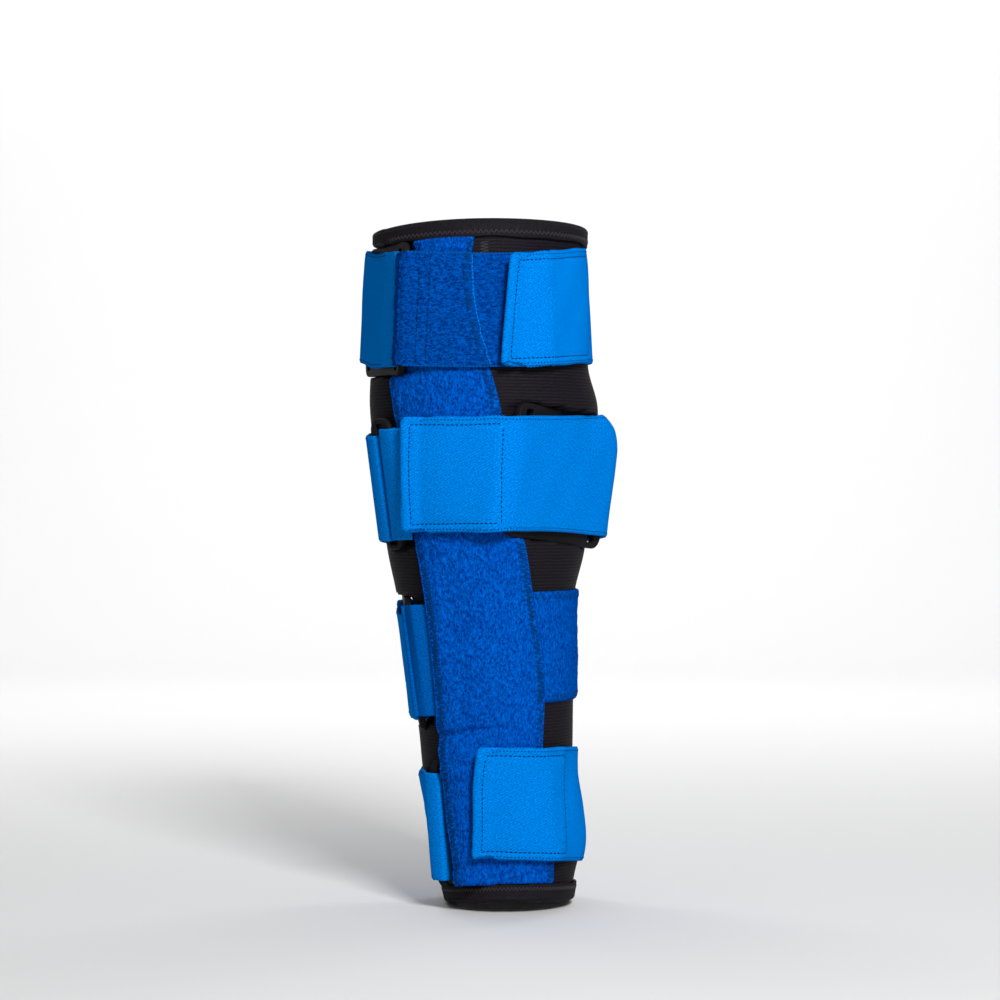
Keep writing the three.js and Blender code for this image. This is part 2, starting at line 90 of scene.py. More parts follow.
def ease(x):
    """Smooth step from 0 to 1, level at both ends."""
    t = np.clip(x, 0.0, 1.0)
    return t * t * (3.0 - 2.0 * t)


def sine(degrees):
    """Sine of an angle in degrees."""
    return np.sin(np.radians(degrees))


def cosine(degrees):
    """Cosine of an angle in degrees."""
    return np.cos(np.radians(degrees))


def read(table, x, column):
    """Column of a table at x: the cubic through its rows, each slope taken from the two neighbours."""
    rows = np.array(sorted(table), dtype=float)
    at, value = rows[:, 0], rows[:, column]
    before = np.maximum(np.arange(len(at)) - 1, 0)
    after = np.minimum(np.arange(len(at)) + 1, len(at) - 1)
    slope = (value[after] - value[before]) / (at[after] - at[before])
    i = np.clip(np.searchsorted(at, x, side="right") - 1, 0, len(at) - 2)
    span = at[i + 1] - at[i]
    s = np.clip((x - at[i]) / span, 0.0, 1.0)
    rise = value[i + 1] - value[i]
    bend = (slope[i] * span - rise) * (1.0 - s) + (rise - slope[i + 1] * span) * s
    return value[i] + s * rise + s * (1.0 - s) * bend


def spot(angle, z, r):
    """Point at an angle and height, a distance r from the middle line."""
    angle, z, r = np.broadcast_arrays(angle, z, r)
    return np.stack([read(GIRTH, z, 1) + r * sine(angle), -r * cosine(angle), z], axis=-1)


# Powers of the tube's section in front and behind.
ROUNDNESS = (2.05, 2.3)


def section(angle, z):
    """Section of the tube: a rounded power curve with its own half width, front depth and back depth."""
    ahead = cosine(angle) > 0
    power = np.where(ahead, *ROUNDNESS)
    deep = np.where(ahead, read(GIRTH, z, 3), read(GIRTH, z, 4))
    wide = np.abs(sine(angle) / read(GIRTH, z, 2)) ** power
    return (wide + np.abs(cosine(angle) / deep) ** power) ** (-1.0 / power)


def seat(size, facing, lean, roll, out, slip, z, clear, bend):
    """Axes of a plate or ring, from the middle of its inner face: u forward, v up and n out."""
    n = np.array([sine(facing) * cosine(lean), -cosine(facing) * cosine(lean), -sine(lean)])
    side = np.sign(facing)
    level = side * np.array([-cosine(facing), -sine(facing), 0.0])
    u = level * cosine(roll) + np.cross(n, level) * sine(roll)
    v = -side * np.cross(n, u)
    c = spot(facing, z, out) + level * slip
    return {"size": size, "n": n, "u": u, "v": v, "c": c, "clear": clear, "bend": bend}


# Size, facing, lean, roll, distance out, slip forward, height, clearance behind and ahead, strap bend.
SEATS = {
    "plate_upper": seat(PLATE, -75, -2, -2, 40.2, 0.5, 108.6, (3.4, 5.2), 7.0),
    "plate_middle": seat(PLATE, 52, 4, -6, 40.5, 1.8, 36.5, (2.7, 3.2), 11.0),
    "plate_lower": seat(PLATE, -87, 7, 0, 31.8, -8.0, -43.5, (3.1, 3.1), 7.0),
    "ring_calf": seat(RING, -56, 8.5, 0, 48.3, 0.0, 33.5, (2.4, 2.4), 2.0),
    "ring_ankle": seat(RING, -38.5, 6, 0, 36.8, -1.2, -113.0, (2.4, 2.4), 2.0),
}


# A ray that meets a plane at less than this cosine counts as missing it, and runs on far out.
GRAZING = 0.25
FAR = 1000.0
# The hollow under a seat: where it ends past the seat and how it fades, the margin where the knit rises
# and how fast, where the clearance ahead starts and its run, the room round a dome, and the least gap.
HOLLOW = {"past": 3.0, "fade": 0.05, "margin": 2.9, "rise": 1.2, "ahead": 10.0, "run": 8.0, "room": 8.0,
          "roof": 1.0, "lip": 0.4, "least": 0.6}
SOFT = 3.0


def meet(s, angle, z, w):
    """How far out the ray at an angle and height meets a seat's plane, w out from its inner face, the u and
    v of that place, the ray's cosine to the plane's normal, and whether it meets it."""
    ray = np.stack(np.broadcast_arrays(sine(angle), -cosine(angle), 0.0 * z), axis=-1)
    facing = ray @ s["n"]
    met = facing > GRAZING
    slope = np.where(met, facing, 1.0)
    from_seat = spot(angle, z, 0.0) - s["c"]
    out = (w - from_seat @ s["n"]) / slope
    p = from_seat + out[..., None] * ray
    return out, p @ s["u"], p @ s["v"], slope, met


def limit(s, angle, z):
    """How far out the knit may stand under a seat: its plane less a clearance, or less its dome.
    At the seat's upper and lower margins it comes close, and past the edges the limit curves away."""
    flat, u, v, slope, met = meet(s, angle, z, 0.0)
    wide, high = s["size"]["wide"] / 2, s["size"]["high"] / 2
    past = np.clip(np.abs(u) - wide - HOLLOW["past"], 0.0, None) ** 2
    over = np.clip(np.abs(v) - high + HOLLOW["margin"], 0.0, None) ** 2
    behind, ahead = s["clear"]
    depth = behind + (ahead - behind) * ease((u - HOLLOW["ahead"]) / HOLLOW["run"])
    if s["size"] is PLATE:
        room = HOLLOW["room"]
        swell = 1.0 - (2 * u / (DOME["wide"] + room)) ** 2 - (2 * v / (DOME["high"] + room)) ** 2
        depth = np.maximum(depth, HOLLOW["roof"] + DOME["deep"] * np.sqrt(np.clip(swell, 0.0, None)))
    depth = depth - HOLLOW["fade"] * past - HOLLOW["rise"] * over
    covered = (np.abs(u) < wide + HOLLOW["lip"]) & (np.abs(v) < high + HOLLOW["lip"])
    depth = np.where(covered, np.maximum(depth, HOLLOW["least"]), depth)
    return np.where(met, flat - depth / slope, FAR)


def skin(angle, z):
    """Outer radius of the knit: the tube's section, cut down by each seat's limit with a soft corner."""
    angle, z = np.broadcast_arrays(np.asarray(angle, dtype=float), np.asarray(z, dtype=float))
    r = section(angle, z)
    for s in SEATS.values():
        m = limit(s, angle, z)
        soft = np.clip(SOFT - np.abs(r - m), 0.0, None) ** 2 / (4.0 * SOFT)
        r = np.minimum(r, m) - soft
    return r


def tiles(index):
    """Corner numbers of the quads between neighbouring lines of a numbered grid."""
    quads = np.stack([index[:-1, :-1], index[:-1, 1:], index[1:, 1:], index[1:, :-1]], axis=-1)
    return quads.reshape(-1, 4)


def solid(name, points, faces, material, flat=0):
    """Object made of points in millimetres, shaded smooth but for its last flat faces."""
    mesh = bpy.data.meshes.new(name)
    mesh.from_pydata(points * MM, [], faces)
    smooth = np.ones(len(faces), dtype=bool)
    smooth[len(faces) - flat:] = False
    mesh.polygons.foreach_set("use_smooth", smooth)
    mesh.materials.append(material)
    piece = bpy.data.objects.new(name, mesh)
    bpy.context.scene.collection.objects.link(piece)
    return piece


def loft(name, grid, material, round_rows=False, round_columns=False, ends=False, weave=None):
    """Quads over a grid of points: a direction that goes round joins its last line to its first, and
    ends closes the first and last rows. The sign of the volume turns the faces outwards."""
    rows, columns = grid.shape[:2]
    index = np.arange(rows * columns).reshape(rows, columns)
    caps = [index[0][::-1].tolist(), index[-1].tolist()] if ends else []
    if round_rows:
        index = np.vstack([index, index[:1]])
    if round_columns:
        index = np.hstack([index, index[:, :1]])
    quads = tiles(index)
    points = grid.reshape(-1, 3)
    a, b, c, d = np.moveaxis((points - points.mean(axis=0))[quads], 1, 0)
    volume = np.sum(a * (np.cross(b, c) + np.cross(c, d)))
    faces = quads.tolist() + caps
    if volume < 0:
        faces = [face[::-1] for face in faces]
    piece = solid(name, points, faces, material, len(caps))
    if weave is not None:
        threads_at = piece.data.attributes.new("weave", "FLOAT_VECTOR", "POINT")
        threads_at.data.foreach_set("vector", np.ascontiguousarray(weave, dtype=float).ravel())
    return piece


def fit(piece, node):
    """Lets a piece stand for its solid: it hangs on the root body, and the solid is hidden."""
    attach(piece, "root")
    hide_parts(node)


def linear(code):
    """Linear colour of an sRGB hex code."""
    srgb = np.array([int(code[i:i + 2], 16) for i in (1, 3, 5)]) / 255.0
    bright = ((srgb + 0.055) / 1.055) ** 2.4
    return (*np.where(srgb <= 0.04045, srgb / 12.92, bright).tolist(), 1.0)


def add(tree, kind, sockets, **settings):
    """Adds one node: settings are its properties, and each socket takes a value or a node's output."""
    made = tree.nodes.new(kind)
    for name, value in settings.items():
        setattr(made, name, value)
    for name, value in sockets.items():
        if isinstance(value, bpy.types.NodeSocket):
            tree.links.new(value, made.inputs[name])
        else:
            made.inputs[name].default_value = value
    return made


def blank(name):
    """A material with an empty node tree."""
    made = bpy.data.materials.new(name)
    made.use_nodes = True
    made.node_tree.nodes.clear()
    return made, made.node_tree


def finish(tree, tint, rough, shine, height=None, strength=0.0, deep=0.0):
    """Ends a material: its colour, roughness and specular level, and a bump some millimetres deep."""
    sockets = {"Base Color": tint, "Roughness": rough, "Specular IOR Level": shine}
    if height is not None:
        bump = add(tree, "ShaderNodeBump", {"Height": height, "Strength": strength, "Distance": deep * MM})
        sockets["Normal"] = bump.outputs[0]
    shader = add(tree, "ShaderNodeBsdfPrincipled", sockets)
    add(tree, "ShaderNodeOutputMaterial", {"Surface": shader.outputs[0]})


# A wave texture repeats every 2 pi / 20 of its scaled coordinate.
WAVE = 2.0 * np.pi / 20.0

# Polyamide rib knit: dull black, with fine level ribs drawn 1.4 mm apart so that they show.
rib_knit, tree = blank("rib_knit")
place = add(tree, "ShaderNodeTexCoord", {}).outputs["Object"]
rib = add(tree, "ShaderNodeTexWave",
          {"Vector": place, "Scale": WAVE / (1.4 * MM), "Distortion": 2.2, "Detail": 2.0,
           "Detail Scale": 1.6}, bands_direction="Z")
loops = add(tree, "ShaderNodeTexNoise", {"Vector": place, "Scale": 1.0 / (0.9 * MM), "Detail": 2.0})
worn = add(tree, "ShaderNodeTexNoise", {"Vector": place, "Scale": 1.0 / (22.0 * MM), "Detail": 3.0})
relief = add(tree, "ShaderNodeMath", {0: rib.outputs["Fac"], 1: loops.outputs["Fac"]}, operation="MULTIPLY")
shade = add(tree, "ShaderNodeMix", {0: relief.outputs[0], 6: linear("#0b0a0d"), 7: linear("#302d34")},
            data_type="RGBA")
tint = add(tree, "ShaderNodeMix", {0: worn.outputs["Fac"], 6: shade.outputs[2], 7: linear("#1b191e")},
           data_type="RGBA")
finish(tree, tint.outputs[2], 0.6, 0.03, relief.outputs[0], 0.35, 0.3)

ROUND = np.linspace(-180.0, 180.0, 200, endpoint=False)
TUCK = 1.6
low = read(RIMS, ROUND, 2) + TUCK
high = read(RIMS, ROUND, 1) - TUCK
outside_z = low + (high - low) * np.linspace(0.0, 1.0, 290)[:, None]
inside_z = low + (high - low) * np.linspace(1.0, 0.0, 60)[:, None]
sleeve = loft(
    "sleeve_knit",
    np.concatenate([spot(ROUND, outside_z, skin(ROUND, outside_z)),
                    spot(ROUND, inside_z, skin(ROUND, inside_z) - KNIT_WALL)]),
    rib_knit, round_rows=True, round_columns=True,
)
fit(sleeve, "sleeve")

# Hems
# A strip of the same knit folded over each rim and sewn down by a zigzag cover stitch.
# The top strip's end laps over its start on the left.

# The strip: how far it comes down, its thickness and slack, where its fold starts, points in a face,
# and the least cosine at which the fold still counts as the outer face.
HEM = {"high": 8.0, "thick": 1.0, "slack": 0.5, "fold": 2.0, "points": 12, "outer": 0.3}
LAP = {"from": -84.0, "ramp": 9.0, "to": -61.0, "step": 1.2, "thick": 0.9}
PUCKER = {"deep": 0.12, "count": 130, "at": -5.6, "wide": 1.6}
# The cut edge wanders up and down: height, waves round the rim and start in degrees.
WANDER = [(0.25, 7, 40.0), (0.2, 13, 0.0)]
# Degrees from stitch to stitch, and the two rows of the hem's face that the zigzag joins.
COVER = {"pitch": 2.6, "rows": (2.2, 5.4)}

# The binding is smoother than the sleeve: a fine knit whose loops show as a dull grain 0.8 mm across.
binding, tree = blank("binding_knit")
place = add(tree, "ShaderNodeTexCoord", {}).outputs["Object"]
loops = add(tree, "ShaderNodeTexNoise", {"Vector": place, "Scale": 1.0 / (0.8 * MM), "Detail": 3.0})
tint = add(tree, "ShaderNodeMix", {0: loops.outputs["Fac"], 6: linear("#0a090b"), 7: linear("#28252b")},
           data_type="RGBA")
finish(tree, tint.outputs[2], 0.6, 0.03, loops.outputs["Fac"], 0.5, 0.25)


def spun_thread(name, fibre, dark, light, rough, shine):
    """Sewing thread: spun polyester, whose twisted fibres show as a fine grain of two tones."""
    made, tree = blank(name)
    place = add(tree, "ShaderNodeTexCoord", {}).outputs["Object"]
    twist = add(tree, "ShaderNodeTexNoise", {"Vector": place, "Scale": 1.0 / (fibre * MM), "Detail": 1.0})
    tint = add(tree, "ShaderNodeMix", {0: twist.outputs["Fac"], 6: linear(dark), 7: linear(light)},
               data_type="RGBA")
    finish(tree, tint.outputs[2], rough, shine)
    return made


# A little lighter than the knit where it stands proud.
black_thread = spun_thread("black_thread", 0.5, "#1a191c", "#38363b", 0.6, 0.2)


def sample(grid, row, column):
    """Point of a grid at a fractional row and column, by straight interpolation."""
    i = np.clip(np.floor(row).astype(int), 0, grid.shape[0] - 2)
    j = np.clip(np.floor(column).astype(int), 0, grid.shape[1] - 2)
    f, g = (row - i)[..., None], (column - j)[..., None]
    near = grid[i, j] * (1 - f) + grid[i + 1, j] * f
    far = grid[i, j + 1] * (1 - f) + grid[i + 1, j + 1] * f
    return near * (1 - g) + far * g


def outward(grid):
    """Unit normals of a grid, pointing away from the middle line in its last row."""
    n = np.cross(np.gradient(grid, axis=0), np.gradient(grid, axis=1))
    n /= np.maximum(np.linalg.norm(n, axis=-1, keepdims=True), 1e-9)
    end = grid[-1]
    away = end - np.stack([read(GIRTH, end[:, 2], 1), 0 * end[:, 2], end[:, 2]], axis=-1)
    return n * np.sign(np.sum(n[-1] * away))


def threads(name, lines, wide, high, material):
    """Sewing thread on cloth: a spindle of six sides from each start to each end, half sunk.
    The lines are the starts, the ends and the ways up from the cloth."""
    starts, ends, ups = lines
    along = np.array([-1.0, -0.5, 0.5, 1.0])
    girth = np.array([0.35, 1.0, 1.0, 0.35])
    side = np.radians(np.arange(0, 360, 60))
    middle = (starts + ends) / 2
    reach = (ends - starts) / 2
    across = np.cross(ups, reach)
    across /= np.maximum(np.linalg.norm(across, axis=-1, keepdims=True), 1e-9)
    body = middle[:, None, None] + reach[:, None, None] * along[:, None, None]
    body = body + across[:, None, None] * (girth[:, None] * np.cos(side) * wide / 2)[..., None]
    body = body + ups[:, None, None] * (girth[:, None] * np.sin(side) * high / 2)[..., None]
    index = np.arange(24).reshape(4, 6)
    index = np.hstack([index, index[:, :1]])
    first = 24 * np.arange(len(starts))[:, None, None]
    faces = (tiles(index)[None] + first).reshape(-1, 4).tolist()
    faces += (np.arange(6)[::-1] + first[:, 0]).tolist()
    faces += (np.arange(18, 24) + first[:, 0]).tolist()
    piece = solid(name, body.reshape(-1, 3), faces, material)
    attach(piece, "root")
    return piece


def zigzag(grid, up, first_line, second_line):
    """Threads from each point of one line to the other and back to the next; lines are (rows, columns)."""
    a, b = sample(grid, *first_line), sample(grid, *second_line)
    up_a, up_b = sample(up, *first_line), sample(up, *second_line)
    starts = np.concatenate([a, b[:-1]])
    ends = np.concatenate([b, a[1:]])
    ups = np.concatenate([up_a + up_b, up_b[:-1] + up_a[1:]])
    return starts, ends, ups / np.linalg.norm(ups, axis=-1, keepdims=True)


def hump(x, at, wide):
    """Bell curve: 1 at its place, falling away on both sides over its width."""
    return np.exp(-((x - at) / wide) ** 2)


def hem(name, node, column, sign):
    """Folded strip: its section runs up the outer face, over the rim and down the inner face, then back
    inside itself. The outer face is drawn in a little at each stitch."""
    deep = KNIT_WALL + HEM["slack"]
    bend = (HEM["slack"] + HEM["thick"] + deep + HEM["thick"]) / 2
    core = HEM["slack"] + HEM["thick"] - bend
    over = np.radians(np.linspace(0, 180, 13))
    up_face = np.linspace(-HEM["high"], -HEM["fold"], HEM["points"])
    crest = -HEM["fold"] + HEM["fold"] * np.sin(over)
    down = np.concatenate([up_face, crest, up_face[::-1], up_face, up_face[::-1]])
    even = np.zeros(HEM["points"])
    off = np.concatenate([even + (core + bend), core + bend * np.cos(over), even + (core - bend),
                          even + (core - bend + HEM["thick"]), even + HEM["slack"]])
    face = np.concatenate([even + 1.0, 1.0 * (np.cos(over) > HEM["outer"]), even, even, even])
    angle = np.linspace(-180.0, 180.0, 360, endpoint=False)
    lap = ease((angle - LAP["from"]) / LAP["ramp"]) * ease((LAP["to"] - angle) / LAP["step"])
    lap = lap * LAP["thick"] * (column == 1)
    drawn = hump(down[:, None], PUCKER["at"], PUCKER["wide"])
    pucker = PUCKER["deep"] * np.cos(np.radians(angle) * PUCKER["count"]) * drawn
    wander = sum(rise * sine(angle * waves + start) for rise, waves, start in WANDER)
    cut_edge = down[:, None] == -HEM["high"]
    z = read(RIMS, angle, column) + sign * (down[:, None] + wander * cut_edge)
    r = skin(angle, z) + off[:, None] + face[:, None] * (lap + pucker)
    grid = spot(angle, z, r)
    piece = loft(name, grid, binding, round_rows=True, round_columns=True)
    fit(piece, node)
    shown = np.hstack([grid, grid[:, :1]])[:HEM["points"]]
    up = outward(shown)
    pitch = np.arange(0, 359.0, COVER["pitch"])
    first, second = COVER["rows"]
    sewn = zigzag(shown, up, (0 * pitch + first, pitch), (0 * pitch + second, pitch + COVER["pitch"] / 2))
    threads(f"{name}_stitch", sewn, 0.55, 0.5, black_thread)


hem("top_binding", "top_hem", 1, 1.0)
hem("bottom_binding", "bottom_hem", 2, -1.0)

# A short zigzag seam closes the sleeve below the top binding, just right of the front's middle.
SEAM = {"from": 0.0, "to": 5.0, "low": 127.0, "high": 137.0}
angle, z = np.meshgrid(np.linspace(SEAM["from"], SEAM["to"], 8), np.linspace(SEAM["low"], SEAM["high"], 12))
shown = spot(angle, z, skin(angle, z))
pitch = np.arange(0.0, 10.5, 1.5)
sewn = zigzag(shown, outward(shown), (pitch, 0 * pitch), (pitch + 0.75, 0 * pitch + 7.0))
threads("sleeve_seam", sewn, 0.6, 0.5, black_thread)

# Front panel
# A strip of brushed loop pile down the front, which the hook tabs grip.
# Both long edges are overlocked, and its left edge covers a loop's end and a ring's front bar.
PILE = 1.5
STRAP = 1.5
GAP = 0.4
LOOP_HIGH = 48.0
HALF = GAP + STRAP / 2
# Height, left angle, right angle.
PANEL = [
    (141, -33.5, -1.5),
    (129, -37.0, -4.0),
    (106, -42.0, -2.0),
    (80, -48.0, 5.2),
    (62, -46.0, 8.3),
    (37, -42.5, 13.6),
    (10, -38.6, 19.0),
    (-11, -32.4, 24.7),
    (-29, -31.6, 29.1),
    (-45, -32.4, 31.8),
    (-60, -33.6, 31.7),
    (-79, -36.2, 29.6),
    (-90, -34.8, 31.2),
    (-113, -37.3, 29.5),
    (-136, -36.4, 32.8),
    (-143, -37.0, 33.9),
]
LOWER_LOOP = {"from": -51.0, "to": -27.0, "rise": 6.4, "at": -41.0}
# How the panel comes down again past what lies under it: a margin past each edge, then a run.
SLOPES = {"loop_side": (2.0, 20.0), "loop_end": (1.0, 9.0), "ring_side": (2.5, 10.0),
          "ring_end": (0.8, 13.0)}
# Rise over the ring, reach in degrees and millimetres of the hollows that it spans, and its slack.
OVER_RING = 0.1
SPAN = (4.0, 6.0)
SLACK = 0.2
# What is left free between the panel and the hems.
HEM_GAP = 0.3
# A shallow crease across the panel: its height at the front, its rise for each degree and where it ends.
CREASE = {"at": -70.5, "slope": 0.11, "deep": 1.9, "wide": 1.4, "until": 14.0, "run": 34.0}


def pile_cloth(name, grain, gaps, tops, worn_tops):
    """Brushed polyamide loops: matt, with bright loop tops and dark gaps about 1.5 mm apart, over a finer
    fibre. The grain squeezes the pattern sideways or upright, so the tufts run in faint columns or rows."""
    made, tree = blank(name)
    place = add(tree, "ShaderNodeTexCoord", {}).outputs["Object"]
    laid = add(tree, "ShaderNodeMapping", {"Vector": place, "Scale": grain}).outputs[0]
    tuft = add(tree, "ShaderNodeTexNoise", {"Vector": laid, "Scale": 1.0 / (1.5 * MM), "Detail": 2.0})
    fibre = add(tree, "ShaderNodeTexNoise", {"Vector": laid, "Scale": 1.0 / (0.75 * MM), "Detail": 2.0})
    brushed = add(tree, "ShaderNodeTexNoise", {"Vector": place, "Scale": 1.0 / (16.0 * MM), "Detail": 2.0})
    mixed = add(tree, "ShaderNodeMath", {0: fibre.outputs["Fac"], 1: 0.6, 2: tuft.outputs["Fac"]},
                operation="MULTIPLY_ADD")
    crisp = add(tree, "ShaderNodeMapRange", {"Value": mixed.outputs[0], "From Min": 0.57, "From Max": 1.03})
    shade = add(tree, "ShaderNodeMix", {0: crisp.outputs[0], 6: linear(gaps), 7: linear(tops)},
                data_type="RGBA")
    worn = add(tree, "ShaderNodeMapRange", {"Value": brushed.outputs["Fac"], "To Max": 0.35})
    tint = add(tree, "ShaderNodeMix", {0: worn.outputs[0], 6: shade.outputs[2], 7: linear(worn_tops)},
               data_type="RGBA")
    finish(tree, tint.outputs[2], 0.9, 0.0, mixed.outputs[0], 0.7, 0.6)
    return made


upright_pile = pile_cloth("upright_pile", (1.5, 1.5, 0.8), "#002975", "#0060ca", "#0042a4")

# Texturised overlock thread, darker and a little greener than the pile.
overlock_thread = spun_thread("overlock_thread", 0.6, "#002658", "#004286", 0.7, 0.03)


def settle(angle):
    """Height of the lower loop's middle above the knit, as it leaves its plate and lies down."""
    gone = ease((angle - LOWER_LOOP["from"]) / (LOWER_LOOP["to"] - LOWER_LOOP["from"]))
    return HALF + LOWER_LOOP["rise"] * (1.0 - gone)


def leave(distance, margin, run):
    """Smooth step from 0 to 1 that starts a margin past an edge and takes a run."""
    return ease((distance - margin) / run)


def lift(angle, z):
    """Rise of the panel over what lies under its left edge: the lower loop's end, then the ankle ring."""
    beside = leave(np.abs(z - LOWER_LOOP["at"]) - LOOP_HIGH / 2, *SLOPES["loop_side"])
    ahead = leave(angle - LOWER_LOOP["to"], *SLOPES["loop_end"])
    tucked = (settle(angle) + STRAP / 2) * (1.0 - ahead) * (1.0 - beside)
    top, u, v, _, met = meet(SEATS["ring_ankle"], angle, z, RING["thick"] + OVER_RING)
    off_end = leave(u - RING["wide"] / 2, *SLOPES["ring_end"])
    off_side = leave(np.abs(v) - RING["high"] / 2, *SLOPES["ring_side"])
    barred = (top - skin(angle, z)) * (1.0 - off_end) * (1.0 - off_side)
    return np.where(met, np.maximum(tucked, barred), tucked)


def bed(angle, z):
    """Radius of the panel's underside: it spans small hollows of the knit."""
    aside, apart = SPAN
    across = (skin(angle - aside, z) + skin(angle + aside, z)) / 2
    down = (skin(angle, z - apart) + skin(angle, z + apart)) / 2
    return np.maximum(skin(angle, z), np.maximum(across, down)) + GAP + SLACK + lift(angle, z)


def nap(shape, seed):
    """Uneven loop tops: seeded random heights, each averaged with its neighbours."""
    tops = np.random.default_rng(seed).standard_normal(shape)
    for axis in (0, 1):
        tops = 0.5 * tops + 0.25 * (np.roll(tops, 1, axis) + np.roll(tops, -1, axis))
    return tops / tops.std()


def rim(distance, radius):
    """Height share of a rounded edge: a quarter circle from 0 at the edge to 1 at its radius."""
    return np.sqrt(np.clip(1.0 - (1.0 - np.clip(distance / radius, 0.0, 1.0)) ** 2, 0.02, None))


def joined(parts):
    """Several sets of stitches as one."""
    return [np.concatenate(group) for group in zip(*parts)]


ACROSS = np.concatenate([[0.0, 0.006, 0.014], np.linspace(0.025, 0.975, 70), [0.986, 0.994, 1.0]])
UNDER = np.linspace(1.0, 0.0, 12)[1:-1]
DOWN = np.linspace(0.0, 1.0, 310)[:, None]
# Angle of the left edge and fan of the panel, near enough to read the rims by.
FAN = (-38.0, 72.0)


def strip(share):
    """Angles and heights over the panel for shares of its width, from the bottom hem to the top one."""
    about = FAN[0] + FAN[1] * share
    bottom = read(RIMS, about, 2) + HEM["high"] + HEM_GAP
    top = read(RIMS, about, 1) - HEM["high"] - HEM_GAP
    z = bottom + (top - bottom) * DOWN
    left = read(PANEL, z, 1)
    return left + (read(PANEL, z, 2) - left) * share, z


# Width of the panel, height of its nap, how far in the sewing presses it and how much.
PANEL_WIDE = 62.0
PANEL_NAP = 0.2
PRESSED = (5.0, 0.6)
angle, z = strip(ACROSS)
from_edge = np.minimum(ACROSS, 1.0 - ACROSS) * PANEL_WIDE
edge = rim(from_edge, 1.0)
sewn = 1.0 - ease(from_edge / PRESSED[0])
off_crease = z - CREASE["at"] - CREASE["slope"] * angle
crease = CREASE["deep"] * hump(off_crease, 0.0, CREASE["wide"])
crease = crease * ease((CREASE["until"] - angle) / CREASE["run"])
height = PILE * edge + PANEL_NAP * nap(angle.shape, 3) * edge * (1.0 - PRESSED[1] * sewn) - crease
face = spot(angle, z, bed(angle, z) + height)
angle, z = strip(UNDER)
back = spot(angle, z, bed(angle, z))
panel = loft("front_panel_pile", np.concatenate([face, back], axis=1), upright_pile,
             round_columns=True, ends=True)
fit(panel, "front_panel")

# Rows that the edges are sewn between, the two edge columns, and the overlock's reach in columns.
SEWN = (1.0, 307.0)
EDGES = (1.0, 74.0)
OVERLOCK = 3.8 / PANEL_WIDE * 70 + 2.0
up = outward(face)
pitch = np.linspace(*SEWN, 135)
locks = [zigzag(face, up, (pitch, 0 * pitch + at), (pitch + 0.9, 0 * pitch + inner))
         for at, inner in zip(EDGES, (EDGES[0] + OVERLOCK, EDGES[1] - OVERLOCK))]
overlock = threads("front_panel_overlock", joined(locks), 1.05, 0.95, overlock_thread)
row = np.linspace(*SEWN, 240)
rolled = [(sample(face, row[:-1], 0 * row[1:] + at), sample(face, row[1:], 0 * row[1:] + at),
           sample(up, row[1:], 0 * row[1:] + at)) for at in EDGES]
edging = threads("front_panel_edging", joined(rolled), 1.1, 1.0, upright_pile)

# Side patch
# A short patch of the same pile, sewn beside the panel low on the right.
# A strap's hook tab grips it behind, and a zigzag stitch holds its top and bottom edges.

# Heights of its edges, angle of its end, its length, the round of its sewn edges, its nap and
# its gap to the panel.
PATCH = {"top": -12.5, "bottom": -60.5, "end": 150.0, "long": 60.0, "round": 2.2, "nap": 0.08,
         "apart": 0.3}
share = np.linspace(0.0, 1.0, 80)
rows = np.concatenate([[0.0, 0.008, 0.018], np.linspace(0.03, 0.97, 54), [0.982, 0.992, 1.0]])[:, None]
patch_high = PATCH["top"] - PATCH["bottom"]


def patch_places(rows):
    """Angles and heights over the patch for shares of its height, from the panel's edge to its own end."""
    z = PATCH["bottom"] + patch_high * rows + 0 * share
    start = read(PANEL, z, 2) + PATCH["apart"]
    return start + (PATCH["end"] - start) * share, z


angle, z = patch_places(rows)
edge = rim(np.minimum(rows, 1.0 - rows) * patch_high, PATCH["round"])
edge = edge * rim((1.0 - share) * PATCH["long"], 1.0)
face = spot(angle, z, skin(angle, z) + GAP + PILE * edge + PATCH["nap"] * nap(angle.shape, 5) * edge)
angle, z = patch_places(np.linspace(1.0, 0.0, 9)[1:-1, None])
back = spot(angle, z, skin(angle, z) + GAP)
patch = loft("side_patch_pile", np.swapaxes(np.concatenate([face, back]), 0, 1), upright_pile,
             round_columns=True, ends=True)
fit(patch, "side_patch")
up = outward(face)
pitch = np.linspace(0.5, 78.0, 28)
locks = [zigzag(face, up, (0 * pitch + edge_row, pitch), (0 * pitch + inner, pitch + 0.9))
         for edge_row, inner in ((58.0, 53.5), (1.0, 5.5))]
patch_lock = threads("side_patch_zigzag", joined(locks), 0.9, 0.8, overlock_thread)

# Plates and rings
# Stiff nylon plates with a slot at each end and a low dome on the inner side, and slotted rings.
# They are moulded in one piece, with rounded edges and a fine spark-eroded grain.

# Radii of the rounded edges and of the slots' corners.
EDGE = 0.7
SLOT_CORNER = 1.2

# Glass-filled nylon: dark grey, satin, with a grain about 0.6 mm across.
moulded_nylon, tree = blank("moulded_nylon")
place = add(tree, "ShaderNodeTexCoord", {}).outputs["Object"]
grain = add(tree, "ShaderNodeTexNoise", {"Vector": place, "Scale": 1.0 / (0.6 * MM), "Detail": 2.0})
flow = add(tree, "ShaderNodeTexNoise", {"Vector": place, "Scale": 1.0 / (18.0 * MM), "Detail": 2.0})
tint = add(tree, "ShaderNodeMix", {0: flow.outputs["Fac"], 6: linear("#101013"), 7: linear("#1c1c20")},
           data_type="RGBA")
gloss = add(tree, "ShaderNodeMapRange", {"Value": grain.outputs["Fac"], "To Min": 0.48, "To Max": 0.68})
finish(tree, tint.outputs[2], gloss.outputs[0], 0.06, grain.outputs["Fac"], 0.12, 0.1)


